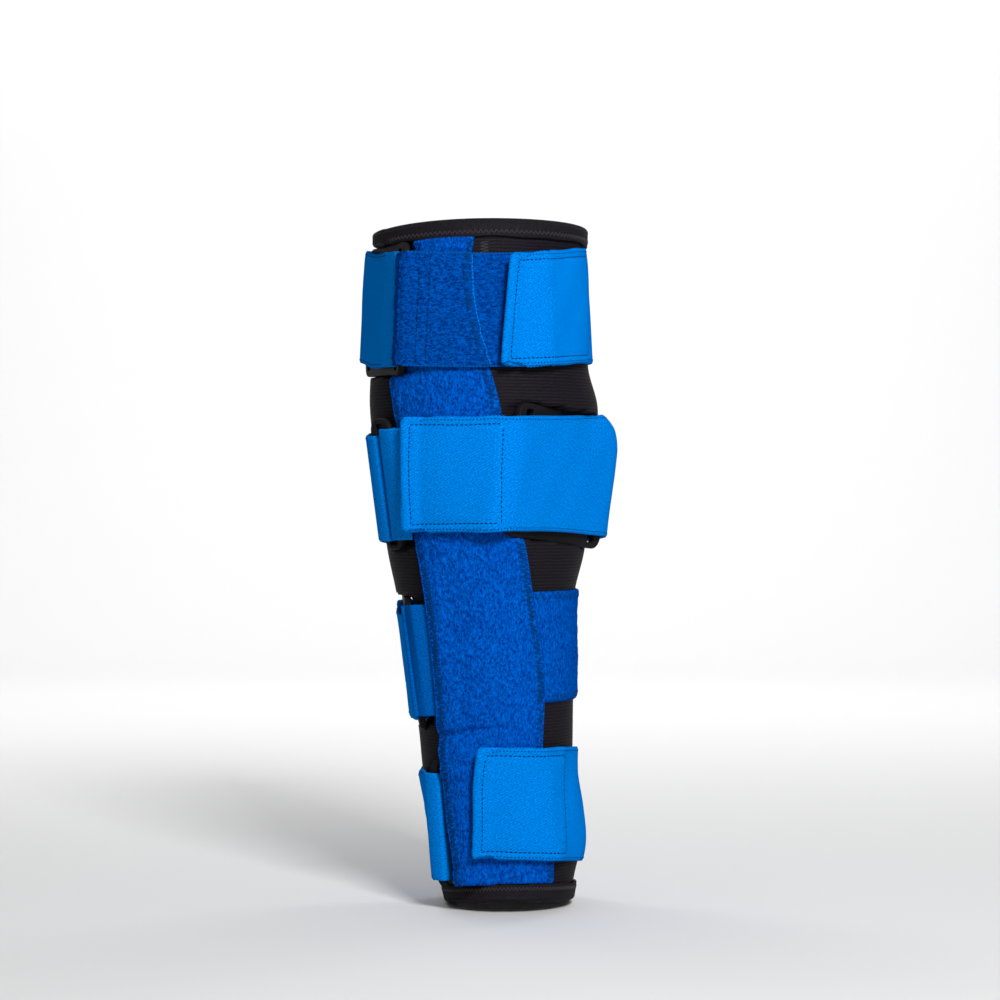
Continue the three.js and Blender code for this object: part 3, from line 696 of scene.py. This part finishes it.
def outline(middle, wide, high, corner):
    """Closed rectangle with round corners: four quarter circles, joined by straight sides."""
    turn = np.radians(np.linspace(0, 90, 9))
    quarter = [turn + k * np.pi / 2 for k in range(4)]
    signs = [(1, 1), (-1, 1), (-1, -1), (1, -1)]
    arcs = list(zip(quarter, signs))
    x = np.concatenate([sx * (wide / 2 - corner) + corner * np.cos(t) for t, (sx, _) in arcs])
    y = np.concatenate([sy * (high / 2 - corner) + corner * np.sin(t) for t, (_, sy) in arcs])
    return np.stack([middle + x, y], axis=-1)


def on_seat(s, u, v, w):
    """Point in a seat's own axes, w out from its inner face."""
    u, v, w = np.broadcast_arrays(u, v, w)
    return s["c"] + u[..., None] * s["u"] + v[..., None] * s["v"] + w[..., None] * s["n"]


def slab(size):
    """Flat moulding with round edges: a filled curve with its slots cut out, thickened and made a mesh."""
    flat = bpy.data.curves.new("slab", "CURVE")
    flat.dimensions = "2D"
    flat.fill_mode = "BOTH"
    flat.extrude = size["thick"] / 2 - EDGE
    flat.bevel_depth = EDGE
    flat.bevel_resolution = 3
    flat.offset = -EDGE
    cuts = [outline(at, size["slot_wide"], size["slot_high"], SLOT_CORNER) for at in size["slots"]]
    for closed in [outline(0.0, size["wide"], size["high"], size["corner"]), *cuts]:
        line = flat.splines.new("POLY")
        line.points.add(len(closed) - 1)
        line.points.foreach_set("co", np.pad(closed, ((0, 0), (0, 2))).ravel())
        line.use_cyclic_u = True
    former = bpy.data.objects.new("slab", flat)
    mesh = bpy.data.meshes.new_from_object(former)
    bpy.data.objects.remove(former)
    points = np.empty(3 * len(mesh.vertices))
    mesh.vertices.foreach_get("co", points)
    faces = [list(polygon.vertices) for polygon in mesh.polygons]
    bpy.data.meshes.remove(mesh)
    points = points.reshape(-1, 3)
    points[:, 2] += size["thick"] / 2
    return points, faces


def dome():
    """Low dome on the inner side: an arch carried round an ellipse, with its rim sunk in the plate."""
    share = np.concatenate([np.linspace(0.02, 0.9, 14), [0.95, 0.98, 1.0]])
    turn = np.radians(np.arange(0, 360, 7.5))
    q, t = np.meshgrid(share, turn, indexing="ij")
    skirt = -DOME["deep"] * np.sqrt(np.clip(1.0 - q ** DOME["power"], 0.0, None))
    shell = np.stack([q * DOME["wide"] / 2 * np.cos(t), q * DOME["high"] / 2 * np.sin(t), skirt], axis=-1)
    lid = shell[-1:] + np.array([0.0, 0.0, 1.0])
    return np.concatenate([shell, lid])


for node, s in SEATS.items():
    points, faces = slab(s["size"])
    flip = np.dot(np.cross(s["u"], s["v"]), s["n"]) < 0
    if flip:
        faces = [face[::-1] for face in faces]
    if s["size"] is PLATE:
        bulge = dome()
        index = len(points) + np.arange(bulge.shape[0] * bulge.shape[1]).reshape(bulge.shape[:2])
        wrapped = np.hstack([index, index[:, :1]])
        quads = tiles(wrapped)[:, [0, 3, 2, 1]]
        shell = quads.tolist() + [index[0].tolist(), index[-1][::-1].tolist()]
        faces = faces + ([face[::-1] for face in shell] if not flip else shell)
        points = np.concatenate([points, bulge.reshape(-1, 3)])
    moulding = solid(f"{node}_moulding", on_seat(s, *points.T), faces, moulded_nylon)
    moulding.data.set_sharp_from_angle(angle=np.radians(40))
    fit(moulding, node)

# Loops
# Short bands folded round the front bar of a plate or ring and sewn to the front.
# The upper one is wide loop pile that the top tab grips; the others are plain elastic.

# Angle, middle height.
COURSES = {
    "upper": [(-180, 110.8), (-115, 113), (-80, 110.5), (0, 106), (90, 111.7), (180, 110.8)],
    "calf": [(-180, 34), (-85, 32), (-50, 36.5), (0, 37.4), (45, 37.6), (90, 36.8), (125, 34), (180, 34)],
    "lower": [(-180, -42), (-90, -45), (-55, -41), (0, -38), (90, -37), (180, -42)],
    "ankle": [(-180, -112), (-110, -114.5), (-75, -115.8), (-40, -103.5), (0, -102.5), (90, -107),
              (180, -112)],
}


def elastic_cloth(name, deep, bright, worn_tone):
    """Woven elastic webbing: matt, with single picks and a shallow twill, drawn 1.1 mm apart so that it
    shows. Its places are millimetres along and across the band."""
    made, tree = blank(name)
    lay = add(tree, "ShaderNodeAttribute", {}, attribute_name="weave").outputs["Vector"]
    slanted = add(tree, "ShaderNodeMapping", {"Vector": lay, "Rotation": (0.0, 0.0, np.radians(62.0))})
    twill = add(tree, "ShaderNodeTexWave",
                {"Vector": slanted.outputs[0], "Scale": WAVE / 1.1, "Distortion": 1.5, "Detail": 1.0,
                 "Detail Scale": 1.5})
    pick = add(tree, "ShaderNodeTexNoise", {"Vector": lay, "Scale": 1.0 / 0.75, "Detail": 2.0})
    patchy = add(tree, "ShaderNodeTexNoise", {"Vector": lay, "Scale": 1.0 / 9.0, "Detail": 2.0})
    relief = add(tree, "ShaderNodeMath", {0: twill.outputs["Fac"], 1: 0.14, 2: pick.outputs["Fac"]},
                 operation="MULTIPLY_ADD")
    crisp = add(tree, "ShaderNodeMapRange",
                {"Value": relief.outputs[0], "From Min": 0.36, "From Max": 0.78})
    shade = add(tree, "ShaderNodeMix", {0: crisp.outputs[0], 6: linear(deep), 7: linear(bright)},
                data_type="RGBA")
    worn = add(tree, "ShaderNodeMapRange", {"Value": patchy.outputs["Fac"], "To Max": 0.45})
    tint = add(tree, "ShaderNodeMix", {0: worn.outputs[0], 6: shade.outputs[2], 7: linear(worn_tone)},
               data_type="RGBA")
    finish(tree, tint.outputs[2], 0.8, 0.0, relief.outputs[0], 0.4, 0.25)
    return made


elastic = elastic_cloth("bright_webbing", "#0056ac", "#008cea", "#006cc8")
# A copy of the same webbing in darker tones: painted shade, used for the lower loop and the upper loop's
# long edges.
shaded_elastic = elastic_cloth("shaded_webbing", "#003d88", "#0065ba", "#004d9f")

# Lockstitch thread, coloured darker than the webbing as painted shade of the dimple it lies in.
shaded_lock_thread = spun_thread("shaded_lock_thread", 0.6, "#001a42", "#00306a", 0.5, 0.03)


def turned(degrees):
    """The same angle between -180 and 180."""
    return (np.asarray(degrees) + 180.0) % 360.0 - 180.0


# A strap's bend over a seat's end, as shares of its radius: how high and how far in its middle lies.
# The strap passes the end by some tenths of a millimetre.
BENT = {"up": 0.11, "in": 0.4, "past": 0.2}


def taut(under, seats, low, high):
    """Shortest way round the knit and what lies on it. At each height the supporting line in every
    direction is the furthest of all that lies under it. Each seat's ends bend it with a radius, and
    carry less of it round the seat's corners."""
    heights = np.arange(low, high + 1.0)
    angles = np.arange(-180.0, 180.0, 2.0)
    a, z = np.meshgrid(angles, heights)
    r = skin(a, z) + under(a, z)
    lying = np.stack([r * sine(a), -r * cosine(a)], axis=-1)
    facing = np.stack([sine(angles), -cosine(angles)])
    reach = (lying @ facing).max(axis=1)
    for s in seats:
        size, bend = s["size"], s["bend"]
        hub_out = size["thick"] + BENT["up"] * bend - bend
        for end in (-1, 1):
            low_hub = on_seat(s, end * size["wide"] / 2, 0.0, hub_out)
            v = (heights - low_hub[2]) / s["v"][2]
            corner = np.clip(np.abs(v) - size["high"] / 2 + size["corner"], 0.0, 2 * size["corner"])
            drawn_in = corner ** 2 / (2 * size["corner"])
            u = end * (size["wide"] / 2 - BENT["in"] * bend + BENT["past"] - drawn_in)
            line = on_seat(s, u, v, hub_out)
            flat = np.stack([line[:, 0] - read(GIRTH, heights, 1), line[:, 1]], axis=-1)
            reach = np.maximum(reach, flat @ facing + bend)

    def radius(angle, z):
        angle, z = np.broadcast_arrays(np.asarray(angle, dtype=float), np.asarray(z, dtype=float))
        row = np.clip(z - low, 0.0, len(heights) - 1.001)
        i = row.astype(int)
        f = (row - i)[..., None]
        lines = reach[i] * (1 - f) + reach[i + 1] * f
        across = cosine(angle[..., None] - angles)
        met = across > GRAZING
        return np.where(met, lines / np.maximum(across, GRAZING), FAR).min(axis=-1) + GAP

    return radius


# Degrees beside the panel's edges that still count as the panel.
BESIDE = 1.5


def panel_top(angle, z):
    """Height of the panel's face above the knit, or nothing beside the panel."""
    on = (angle > read(PANEL, z, 1) - BESIDE) & (angle < read(PANEL, z, 2) + BESIDE)
    return np.where(on, bed(angle, z) + PILE - skin(angle, z), 0.0)


def angle_of(points):
    """Angle round the sleeve of points in space."""
    return np.degrees(np.arctan2(points[..., 0] - read(GIRTH, points[..., 2], 1), -points[..., 1]))


def width_stations(wide, inner):
    """Places over a band's width, close together in its two round edges."""
    turn = np.radians(np.linspace(0, 90, 5))
    edge = STRAP / 2 * (1.0 - np.cos(turn))
    flat = np.linspace(-wide / 2 + STRAP / 2, wide / 2 - STRAP / 2, inner)[1:-1]
    return np.concatenate([-wide / 2 + edge, flat, (wide / 2 - edge)[::-1]])


def fold(s, v, wall, way, tail):
    """Path round a slot's bar: forward under it, round the slot's wall and back on the outer face.
    way is 1 where the bar lies behind the wall."""
    turn = np.radians(np.linspace(-90, 0, 7))
    run = np.linspace(wall - way * tail, wall, 6)[:-1]
    u = np.concatenate([run, wall + way * HALF * np.cos(turn), wall + way * HALF * np.cos(turn[::-1])])
    thick = s["size"]["thick"]
    w = np.concatenate([0 * run - HALF, HALF * np.sin(turn), thick - HALF * np.sin(turn[::-1])])
    return on_seat(s, u[:, None], v[None, :], w[:, None])


def lengths(path):
    """Distance of each row of a path from its last row, along its middle column."""
    line = path[:, path.shape[1] // 2]
    steps = np.linalg.norm(np.diff(line, axis=0), axis=-1)
    return np.concatenate([np.cumsum(steps[::-1])[::-1], [0.0]])


# Least thickness at a band's long edges and at its end, as shares of the whole.
THIN = (0.15, 0.1)


def band(name, path, v, extra, sink, material):
    """Webbing along a path: both faces stand half a thickness off the path, with round long edges and a
    round last end. extra thickens the tab outwards, and sink draws the outer face in along seams."""
    n = outward(path)
    to_end = lengths(path)
    half = (STRAP + extra) / 2
    round_edge = np.maximum(rim(v[-1] - np.abs(v), STRAP / 2), THIN[0])
    round_end = np.maximum(rim(to_end, half), THIN[1])
    thick = half[:, None] * round_edge * round_end[:, None]
    outer = path + n * (extra[:, None] / 2 + thick - sink)[..., None]
    inner = path + n * (extra[:, None] / 2 - thick)[..., None]
    weave = np.stack(np.broadcast_arrays(to_end[:, None], v[None, :], 0.0), axis=-1)
    both = np.concatenate([outer, inner[:, ::-1]], axis=1)
    piece = loft(name, both, material, round_columns=True, ends=True,
                 weave=np.concatenate([weave, weave[:, ::-1]], axis=1))
    return piece, outer, n, to_end


def lockstitch(outer, n, rows, columns, pitch, share=0.7):
    """Straight stitches on a band, from one (row, column) to another, each a share of a pitch long."""
    fine = np.linspace(0.0, 1.0, 300)
    row, column = np.interp(fine, [0, 1], rows), np.interp(fine, [0, 1], columns)
    steps = np.linalg.norm(np.diff(sample(outer, row, column), axis=0), axis=-1)
    run = np.concatenate([[0.0], np.cumsum(steps)])
    begin = np.arange(0.15 * pitch, run[-1] - 0.75 * pitch, pitch)
    first, last = np.interp(begin, run, fine), np.interp(begin + share * pitch, run, fine)
    ends = [sample(outer, np.interp(t, fine, row), np.interp(t, fine, column)) for t in (first, last)]
    return ends[0], ends[1], sample(n, np.interp(first, fine, row), np.interp(first, fine, column))


# How far past the seat a loop bends down, how its rows crowd, and how much of its course it follows.
LEAD = {"past": 0.9, "crowd": 0.9, "course": 0.8}


def loop_path(s, v, course, end, wall, tail, around):
    """Path of a loop: folded round the front bar, over its edge and forward to where it is sewn.
    Its rows stand closer together towards its end."""
    back = fold(s, v, wall, -1, tail)
    turn = np.linspace(90, 50, 5)
    edge = s["size"]["wide"] / 2 + LEAD["past"]
    over = on_seat(s, (edge + HALF * cosine(turn))[:, None], v[None, :],
                   (s["size"]["thick"] + HALF * sine(turn))[:, None])
    begin = angle_of(over[-1])
    share = sine(90.0 * np.linspace(0.0, 1.0, 140)[1:, None]) ** LEAD["crowd"]
    angle = begin + (end - begin) * share
    climb = read(course, turned(angle), 1) - read(course, turned(begin), 1)
    z = over[-1][:, 2] + LEAD["course"] * climb
    return np.concatenate([back, over, spot(angle, z, around(angle, z))])


FORE = PLATE["slots"][1] + PLATE["slot_wide"] / 2
upper_round = taut(panel_top, [SEATS["plate_upper"]], 70.0, 145.0)
calf_round = taut(panel_top, [SEATS["ring_calf"]], 0.0, 72.0)

# The same pile laid level, and a little darker.
level_pile = pile_cloth("level_pile", (0.75, 0.75, 1.6), "#002161", "#0053b0", "#00398f")
# The upper loop's step down past the panel's right edge: its depth, then where it starts and ends, each
# with its run in degrees, and the loft of its pile.
STEP = {"deep": 1.7, "from": (-0.3, 1.2), "to": (18.0, 8.0), "loft": 0.3}


def upper_lay(angle, z):
    """Radius of the upper loop's middle: taut, then pressed down past the panel's right edge."""
    past = angle - read(PANEL, z, 2)
    step = leave(past, *STEP["from"]) * (1.0 - leave(past, *STEP["to"]))
    return upper_round(angle, z) + HALF + STEP["loft"] - STEP["deep"] * step


v = width_stations(LOOP_HIGH, 54)
path = loop_path(SEATS["plate_upper"], v, COURSES["upper"], 34.0, FORE, 9.0, upper_lay)
fuzz = 0.18 * nap(path.shape[:2], 11) * rim(LOOP_HIGH / 2 - np.abs(v), 1.5)
piece, outer, n, to_end = band("loop_upper_pile", path, v, np.zeros(len(path)), fuzz, level_pile)
fit(piece, "loop_upper")
# Where the loop is sewn, in millimetres from its end, how far its threads lie past the panel's edge, and
# how many of its last rows lie on cloth.
SEAMS = (53.0, 57.5)
# Near and far bound the dark overlock zigzag, which also paints the shade left of the step; on places a
# light thread along the step, a painted highlight of its edge.
BRINK = {"near": -0.4, "far": -3.6, "on": 0.1}
LAID = 138
numbers = np.arange(len(to_end))
sewn_at = [np.interp(d, to_end[::-1], numbers[::-1]) for d in SEAMS]
rows = [lockstitch(outer, n, (at, at), (4, len(v) - 5), 2.2) for at in sewn_at]
seams = threads("loop_upper_stitch", joined(rows), 0.55, 0.5, shaded_lock_thread)
columns = np.linspace(3.0, len(v) - 4.0, 30)
past = angle_of(path) - read(PANEL, path[..., 2], 2)
laid = numbers > len(numbers) - LAID
near, far, on = (np.array([np.interp(at, past[laid, int(c)], numbers[laid]) for c in columns])
                 for at in BRINK.values())
# Overlock stitches on the loop, dark enough to paint the shade left of the step as well.
shadow = threads("loop_upper_overlock_and_shade", zigzag(outer, n, (near, columns), (far, columns + 0.4)), 0.9, 0.7,
                 overlock_thread)
start, stop = (on[:-1], columns[:-1]), (on[1:], columns[1:])
long_edges = [lockstitch(outer, n, (len(path) - LAID, len(path) - 2), (c, c), 1.6, 1.05)
              for c in (1.5, len(v) - 2.5)]
edging = threads("loop_upper_edging", joined(long_edges), 1.0, 0.9, shaded_elastic)
# A light thread along the step: painted highlight of its edge.
painted_highlight_thread = threads("loop_upper_painted_highlight", (sample(outer, *start), sample(outer, *stop), sample(n, *stop)), 0.8, 0.8,
               elastic)

v = width_stations(LOOP_HIGH, 30)
path = loop_path(SEATS["ring_calf"], v, COURSES["calf"], -38.0, RING["slot_wide"] / 2, 4.0,
                 lambda angle, z: calf_round(angle, z) + HALF)
piece, *_ = band("loop_calf_elastic", path, v, np.zeros(len(path)), 0.0, elastic)
fit(piece, "loop_calf")

path = loop_path(SEATS["plate_lower"], v + 1.2, COURSES["lower"], LOWER_LOOP["to"], FORE, 5.0,
                 lambda angle, z: skin(angle, z) + settle(angle))
# The lower loop is drawn in the darker webbing, as painted shade.
piece, *_ = band("loop_lower_elastic", path, v, np.zeros(len(path)), 0.0, shaded_elastic)
fit(piece, "loop_lower")

# Straps
# Four lengths of the same elastic, each folded round a slot and sewn, run round the back to a tab.
# A hook patch is sewn behind each tab with a rectangle of lockstitch.
STRAP_HIGH = 49.4
SETTLED = 60.0
CORNER = 2.5
TAB = {"thick": 1.5, "margin": 3.4, "pitch": 2.0, "lift": 2.8, "lifted": 9.0, "seam": 0.8, "sunk": 0.4,
       "ahead": 4.0, "ramp": 8.0, "close": 6.0}
# How far behind its seat's rear edge a strap leaves it, or behind its slot's wall where that is nearer.
REAR = (0.15, 12.0)
# The finer threads: pitch, share of it that shows, and column from the edge.
SELVEDGE = {"pitch": 1.55, "share": 0.45, "column": 4.5}
PICOT = {"pitch": 1.6, "column": 0.6}
# Angle and reach of each change of width, and of the curl, which starts at a height over a run.
SPREAD = (102.0, 38.0)
WAIST = (-95.0, 35.0)
FRONT = (0.0, 45.0)
CURL = {"at": (92.0, 26.0), "from": 8.0, "run": 16.7, "power": 2.2}
# Slight waves in a worn strap: height, and length along and across it for each radian. They start past
# its seat, over a run.
WAVES = [(0.16, 6.5, 11.0), (0.12, 3.7, -6.0)]
WAVED = (30.0, 10.0)
# About a degree's length in millimetres, and the radius that turns a tab's round corners into degrees.
DEGREE = 0.8
AROUND = 45.0
# Length of a tab's round end, and how much a strap draws in over the front.
TIP = 1.6
SLIM = 0.03


def strap(name, s, wall, tail, around, tab, slant, sewn, narrow, drop, spread, waist, curl):
    """One strap: folded round the slot's wall, over its seat, round the back and on to its tab, which is
    sewn over a length. It starts narrow and low, has a waist on the left, spreads over the right side,
    where its top edge may curl in, draws in over the front, and its tab's end stands off a little."""
    v = width_stations(STRAP_HIGH, 48)
    back = fold(s, v * narrow - drop, wall, 1, tail)
    rear = max(-s["size"]["wide"] / 2 - REAR[0], wall - REAR[1])
    start = on_seat(s, rear, v * narrow - drop, s["size"]["thick"])
    begin = angle_of(start)
    outside = np.clip(np.abs(v) - (STRAP_HIGH / 2 - CORNER), 0.0, CORNER)
    recede = CORNER - np.sqrt(CORNER ** 2 - outside ** 2)
    end = tab + slant * v / STRAP_HIGH + np.degrees(recede / AROUND)
    full = abs(tab - begin.mean()) * DEGREE
    hidden = np.linspace(0.0, 1.0 - (sewn + TAB["close"]) / full, 150)
    shown = np.linspace(hidden[-1], 1.0 - TIP / full, 76)[1:]
    last = 1.0 - TIP / full * (1.0 - sine(np.linspace(0, 90, 8)))[1:]
    share = np.concatenate([hidden, shown, last])[:, None]
    angle = begin + (end - begin) * share
    away = ease((begin - angle) / SETTLED)
    here = turned(angle)
    width = 1.0 + spread * hump(here, *SPREAD) - SLIM * hump(here, *FRONT) * away
    width = width - waist * hump(here, *WAIST)
    z = start[:, 2] * (1 - away) + (read(COURSES[name], here, 1) + v * width) * away
    top_edge = np.clip((v - CURL["from"]) / CURL["run"], 0.0, 1.0) ** CURL["power"]
    curled = curl * top_edge * hump(here, *CURL["at"])
    path = np.concatenate([back, spot(angle, z, around(here, z) + HALF - curled)])
    to_end = lengths(path)
    wave = sum(high * np.sin(to_end[:, None] / long + v / wide) for high, long, wide in WAVES)
    wave = wave * leave(to_end[0] - to_end, *WAVED)[:, None]
    stand = TAB["lift"] * ease((TAB["lifted"] - to_end) / TAB["lifted"])[:, None] + wave
    path = path + outward(path) * stand[..., None]
    extra = TAB["thick"] * ease((sewn + TAB["ahead"] - to_end) / TAB["ramp"])
    inset = STRAP_HIGH / 2 - TAB["margin"]
    on_tab = (to_end < sewn + 1.0)[:, None] & (to_end > TAB["margin"] - 1.0)[:, None]
    along = hump(np.abs(v), inset, TAB["seam"]) * on_tab
    ends = sum(hump(to_end, at, TAB["seam"]) for at in (TAB["margin"], sewn))
    sink = TAB["sunk"] * np.maximum(along, ends[:, None] * (np.abs(v) < inset + TAB["seam"]))
    piece, outer, n, to_end = band(f"strap_{name}_elastic", path, v, extra, sink, elastic)
    fit(piece, f"strap_{name}")
    columns = np.interp([-inset, inset], v, np.arange(len(v)))
    rows = np.interp([TAB["margin"], sewn], to_end[::-1], np.arange(len(to_end))[::-1])
    sides = [lockstitch(outer, n, rows, (c, c), TAB["pitch"]) for c in columns]
    cross = [lockstitch(outer, n, (r, r), columns, TAB["pitch"]) for r in rows]
    seam = threads(f"strap_{name}_stitch", joined(sides + cross), 0.5, 0.5, shaded_lock_thread)
    wrap = (len(back), len(path) - 12)
    edges = [lockstitch(outer, n, wrap, (c, c), SELVEDGE["pitch"], SELVEDGE["share"])
             for c in (SELVEDGE["column"], len(v) - 1 - SELVEDGE["column"])]
    selvedge = threads(f"strap_{name}_selvedge", joined(edges), 0.5, 0.4, shaded_lock_thread)
    loops = [lockstitch(outer, n, wrap, (c, c), PICOT["pitch"])
             for c in (PICOT["column"], len(v) - 1 - PICOT["column"])]
    picots = threads(f"strap_{name}_picots", joined(loops), 0.7, 0.7, elastic)


# Angles between which a strap's tab lies on a loop.
UNDERLAID = {"upper": (4.0, 36.0), "calf": (-50.0, -36.0)}


def over_loop(around, angle, z, start, stop):
    """Height of a loop's face above the knit, between two angles."""
    return np.where((angle > start) & (angle < stop), around(angle, z) + GAP + STRAP - skin(angle, z), 0.0)


def upper_under(angle, z):
    """What the upper strap lies on: the panel and the upper loop."""
    return np.maximum(panel_top(angle, z), over_loop(upper_round, angle, z, *UNDERLAID["upper"]))


def calf_under(angle, z):
    """What the calf strap lies on: the panel and the calf loop."""
    return np.maximum(panel_top(angle, z), over_loop(calf_round, angle, z, *UNDERLAID["calf"]))


# What counts as the patch: a margin below and above it, where it starts, and a margin past its end.
PATCHED = {"margin": 1.0, "from": 20.0, "past": 2.0}


def on_patch(angle, z):
    """Whether a place lies on the patch, with a small margin."""
    level = (z > PATCH["bottom"] - PATCHED["margin"]) & (z < PATCH["top"] + PATCHED["margin"])
    return level & (angle > PATCHED["from"]) & (angle < PATCH["end"] + PATCHED["past"])


def lower_under(angle, z):
    """What the lower strap lies on: the side patch."""
    return np.where(on_patch(angle, z), GAP + PILE, 0.0)


ankle_round = taut(panel_top, [SEATS["ring_ankle"]], -150.0, -70.0)
# The ankle strap's lower edge: how deep it is drawn in, from what height, over what run, and where.
DRAWN = {"deep": 3.8, "from": -124.0, "run": 13.0, "at": (-100.0, 28.0)}


def ankle_lay(angle, z):
    """Radius that the ankle strap lies on: taut, with its lower edge drawn in on the left."""
    drawn = np.clip((DRAWN["from"] - z) / DRAWN["run"], 0.0, 1.0) ** 2 * hump(angle, *DRAWN["at"])
    return np.maximum(ankle_round(angle, z) - DRAWN["deep"] * drawn, skin(angle, z) + GAP)


AFT = PLATE["slots"][1] - PLATE["slot_wide"] / 2
upper_lies = taut(upper_under, [SEATS["plate_upper"]], 70.0, 148.0)
strap("upper", SEATS["plate_upper"], AFT, 8.0, upper_lies, tab=-349.0, slant=5.3, sewn=54.0,
      narrow=1.0, drop=0.0, spread=0.02, waist=0.0, curl=1.5)
calf_lies = taut(calf_under, [SEATS["ring_calf"], SEATS["plate_middle"]], 0.0, 76.0)
strap("calf", SEATS["ring_calf"], -RING["slot_wide"] / 2, 4.0, calf_lies, tab=-397.5, slant=2.2, sewn=44.3,
      narrow=0.93, drop=1.8, spread=0.08, waist=0.0, curl=5.5)
lower_lies = taut(lower_under, [SEATS["plate_lower"]], -80.0, -5.0)
strap("lower", SEATS["plate_lower"], AFT, 8.0, lower_lies, tab=-232.0, slant=0.0, sewn=41.0,
      narrow=0.93, drop=2.2, spread=0.0, waist=0.0, curl=0.0)
strap("ankle", SEATS["ring_ankle"], -RING["slot_wide"] / 2, 4.0, ankle_lay, tab=-376.5, slant=12.0,
      sewn=44.5, narrow=0.95, drop=0.8, spread=0.0, waist=0.11, curl=0.0)

# Stage
# A pale seamless floor that curves up behind, lit by itself, and a soft key from the front right.
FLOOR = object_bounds()[0][2]

paper, tree = blank("seamless_paper")
finish(tree, linear("#dcdcdc"), 0.9, 0.5)
# Reach of the paper to all sides, where it starts to curve up and the radius of that curve.
PAPER = {"reach": 4000.0, "bend": 1600.0, "radius": 600.0}
across = np.linspace(-PAPER["reach"], PAPER["reach"], 9)
turn = np.radians(np.linspace(0, 90, 13))
run = np.concatenate([[-PAPER["reach"]], PAPER["bend"] + PAPER["radius"] * np.sin(turn),
                      [PAPER["bend"] + PAPER["radius"]]])
rise = np.concatenate([[0.0], PAPER["radius"] * (1.0 - np.cos(turn)), [PAPER["reach"]]])
sweep = np.stack(np.broadcast_arrays(across[None, :], run[:, None], rise[:, None]), axis=-1)
backdrop = loft("backdrop", sweep + np.array([0.0, 0.0, FLOOR / MM]), paper)

world = bpy.data.worlds.new("studio")
world.use_nodes = True
world.node_tree.nodes["Background"].inputs["Color"].default_value = (1.0, 1.0, 1.0, 1.0)
world.node_tree.nodes["Background"].inputs["Strength"].default_value = 0.18
bpy.context.scene.world = world
bpy.context.scene.view_settings.view_transform = "Standard"

# Name, place and aim in metres, side in metres, watts.
LIGHTS = [
    ("key", (0.38, -1.24, 0.75), (0.0, 0.0, 0.0), 0.35, 23.0),
    ("overhead", (0.0, 0.1, 1.7), (0.0, 0.1, -0.2), 1.4, 2.5),
    ("backdrop_left", (-0.7, 0.9, 1.3), (-0.25, 2.2, 0.2), 0.8, 17.0),
    ("backdrop_right", (0.7, 0.9, 1.3), (0.25, 2.2, 0.2), 0.8, 17.0),
]
for name, at, target, side, watts in LIGHTS:
    lamp = bpy.data.lights.new(name, "AREA")
    lamp.size = side
    lamp.energy = watts
    softbox = bpy.data.objects.new(name, lamp)
    softbox.location = at
    softbox.rotation_euler = (Vector(target) - Vector(at)).to_track_quat("-Z", "Y").to_euler()
    bpy.context.scene.collection.objects.link(softbox)

# Camera
# Level, in front of the panel, at the height and distance that the picture's perspective gives.
EYE = (6.16, -1220.0, 26.4)
FIELD = 440.0
SENSOR = 36.0
lens = bpy.data.cameras.new("camera")
lens.sensor_width = SENSOR
lens.lens = SENSOR * -EYE[1] / FIELD
camera = bpy.data.objects.new("camera", lens)
camera.location = np.array(EYE) * MM
camera.rotation_euler = (np.pi / 2, 0.0, 0.0)
bpy.context.scene.collection.objects.link(camera)
bpy.context.scene.camera = camera
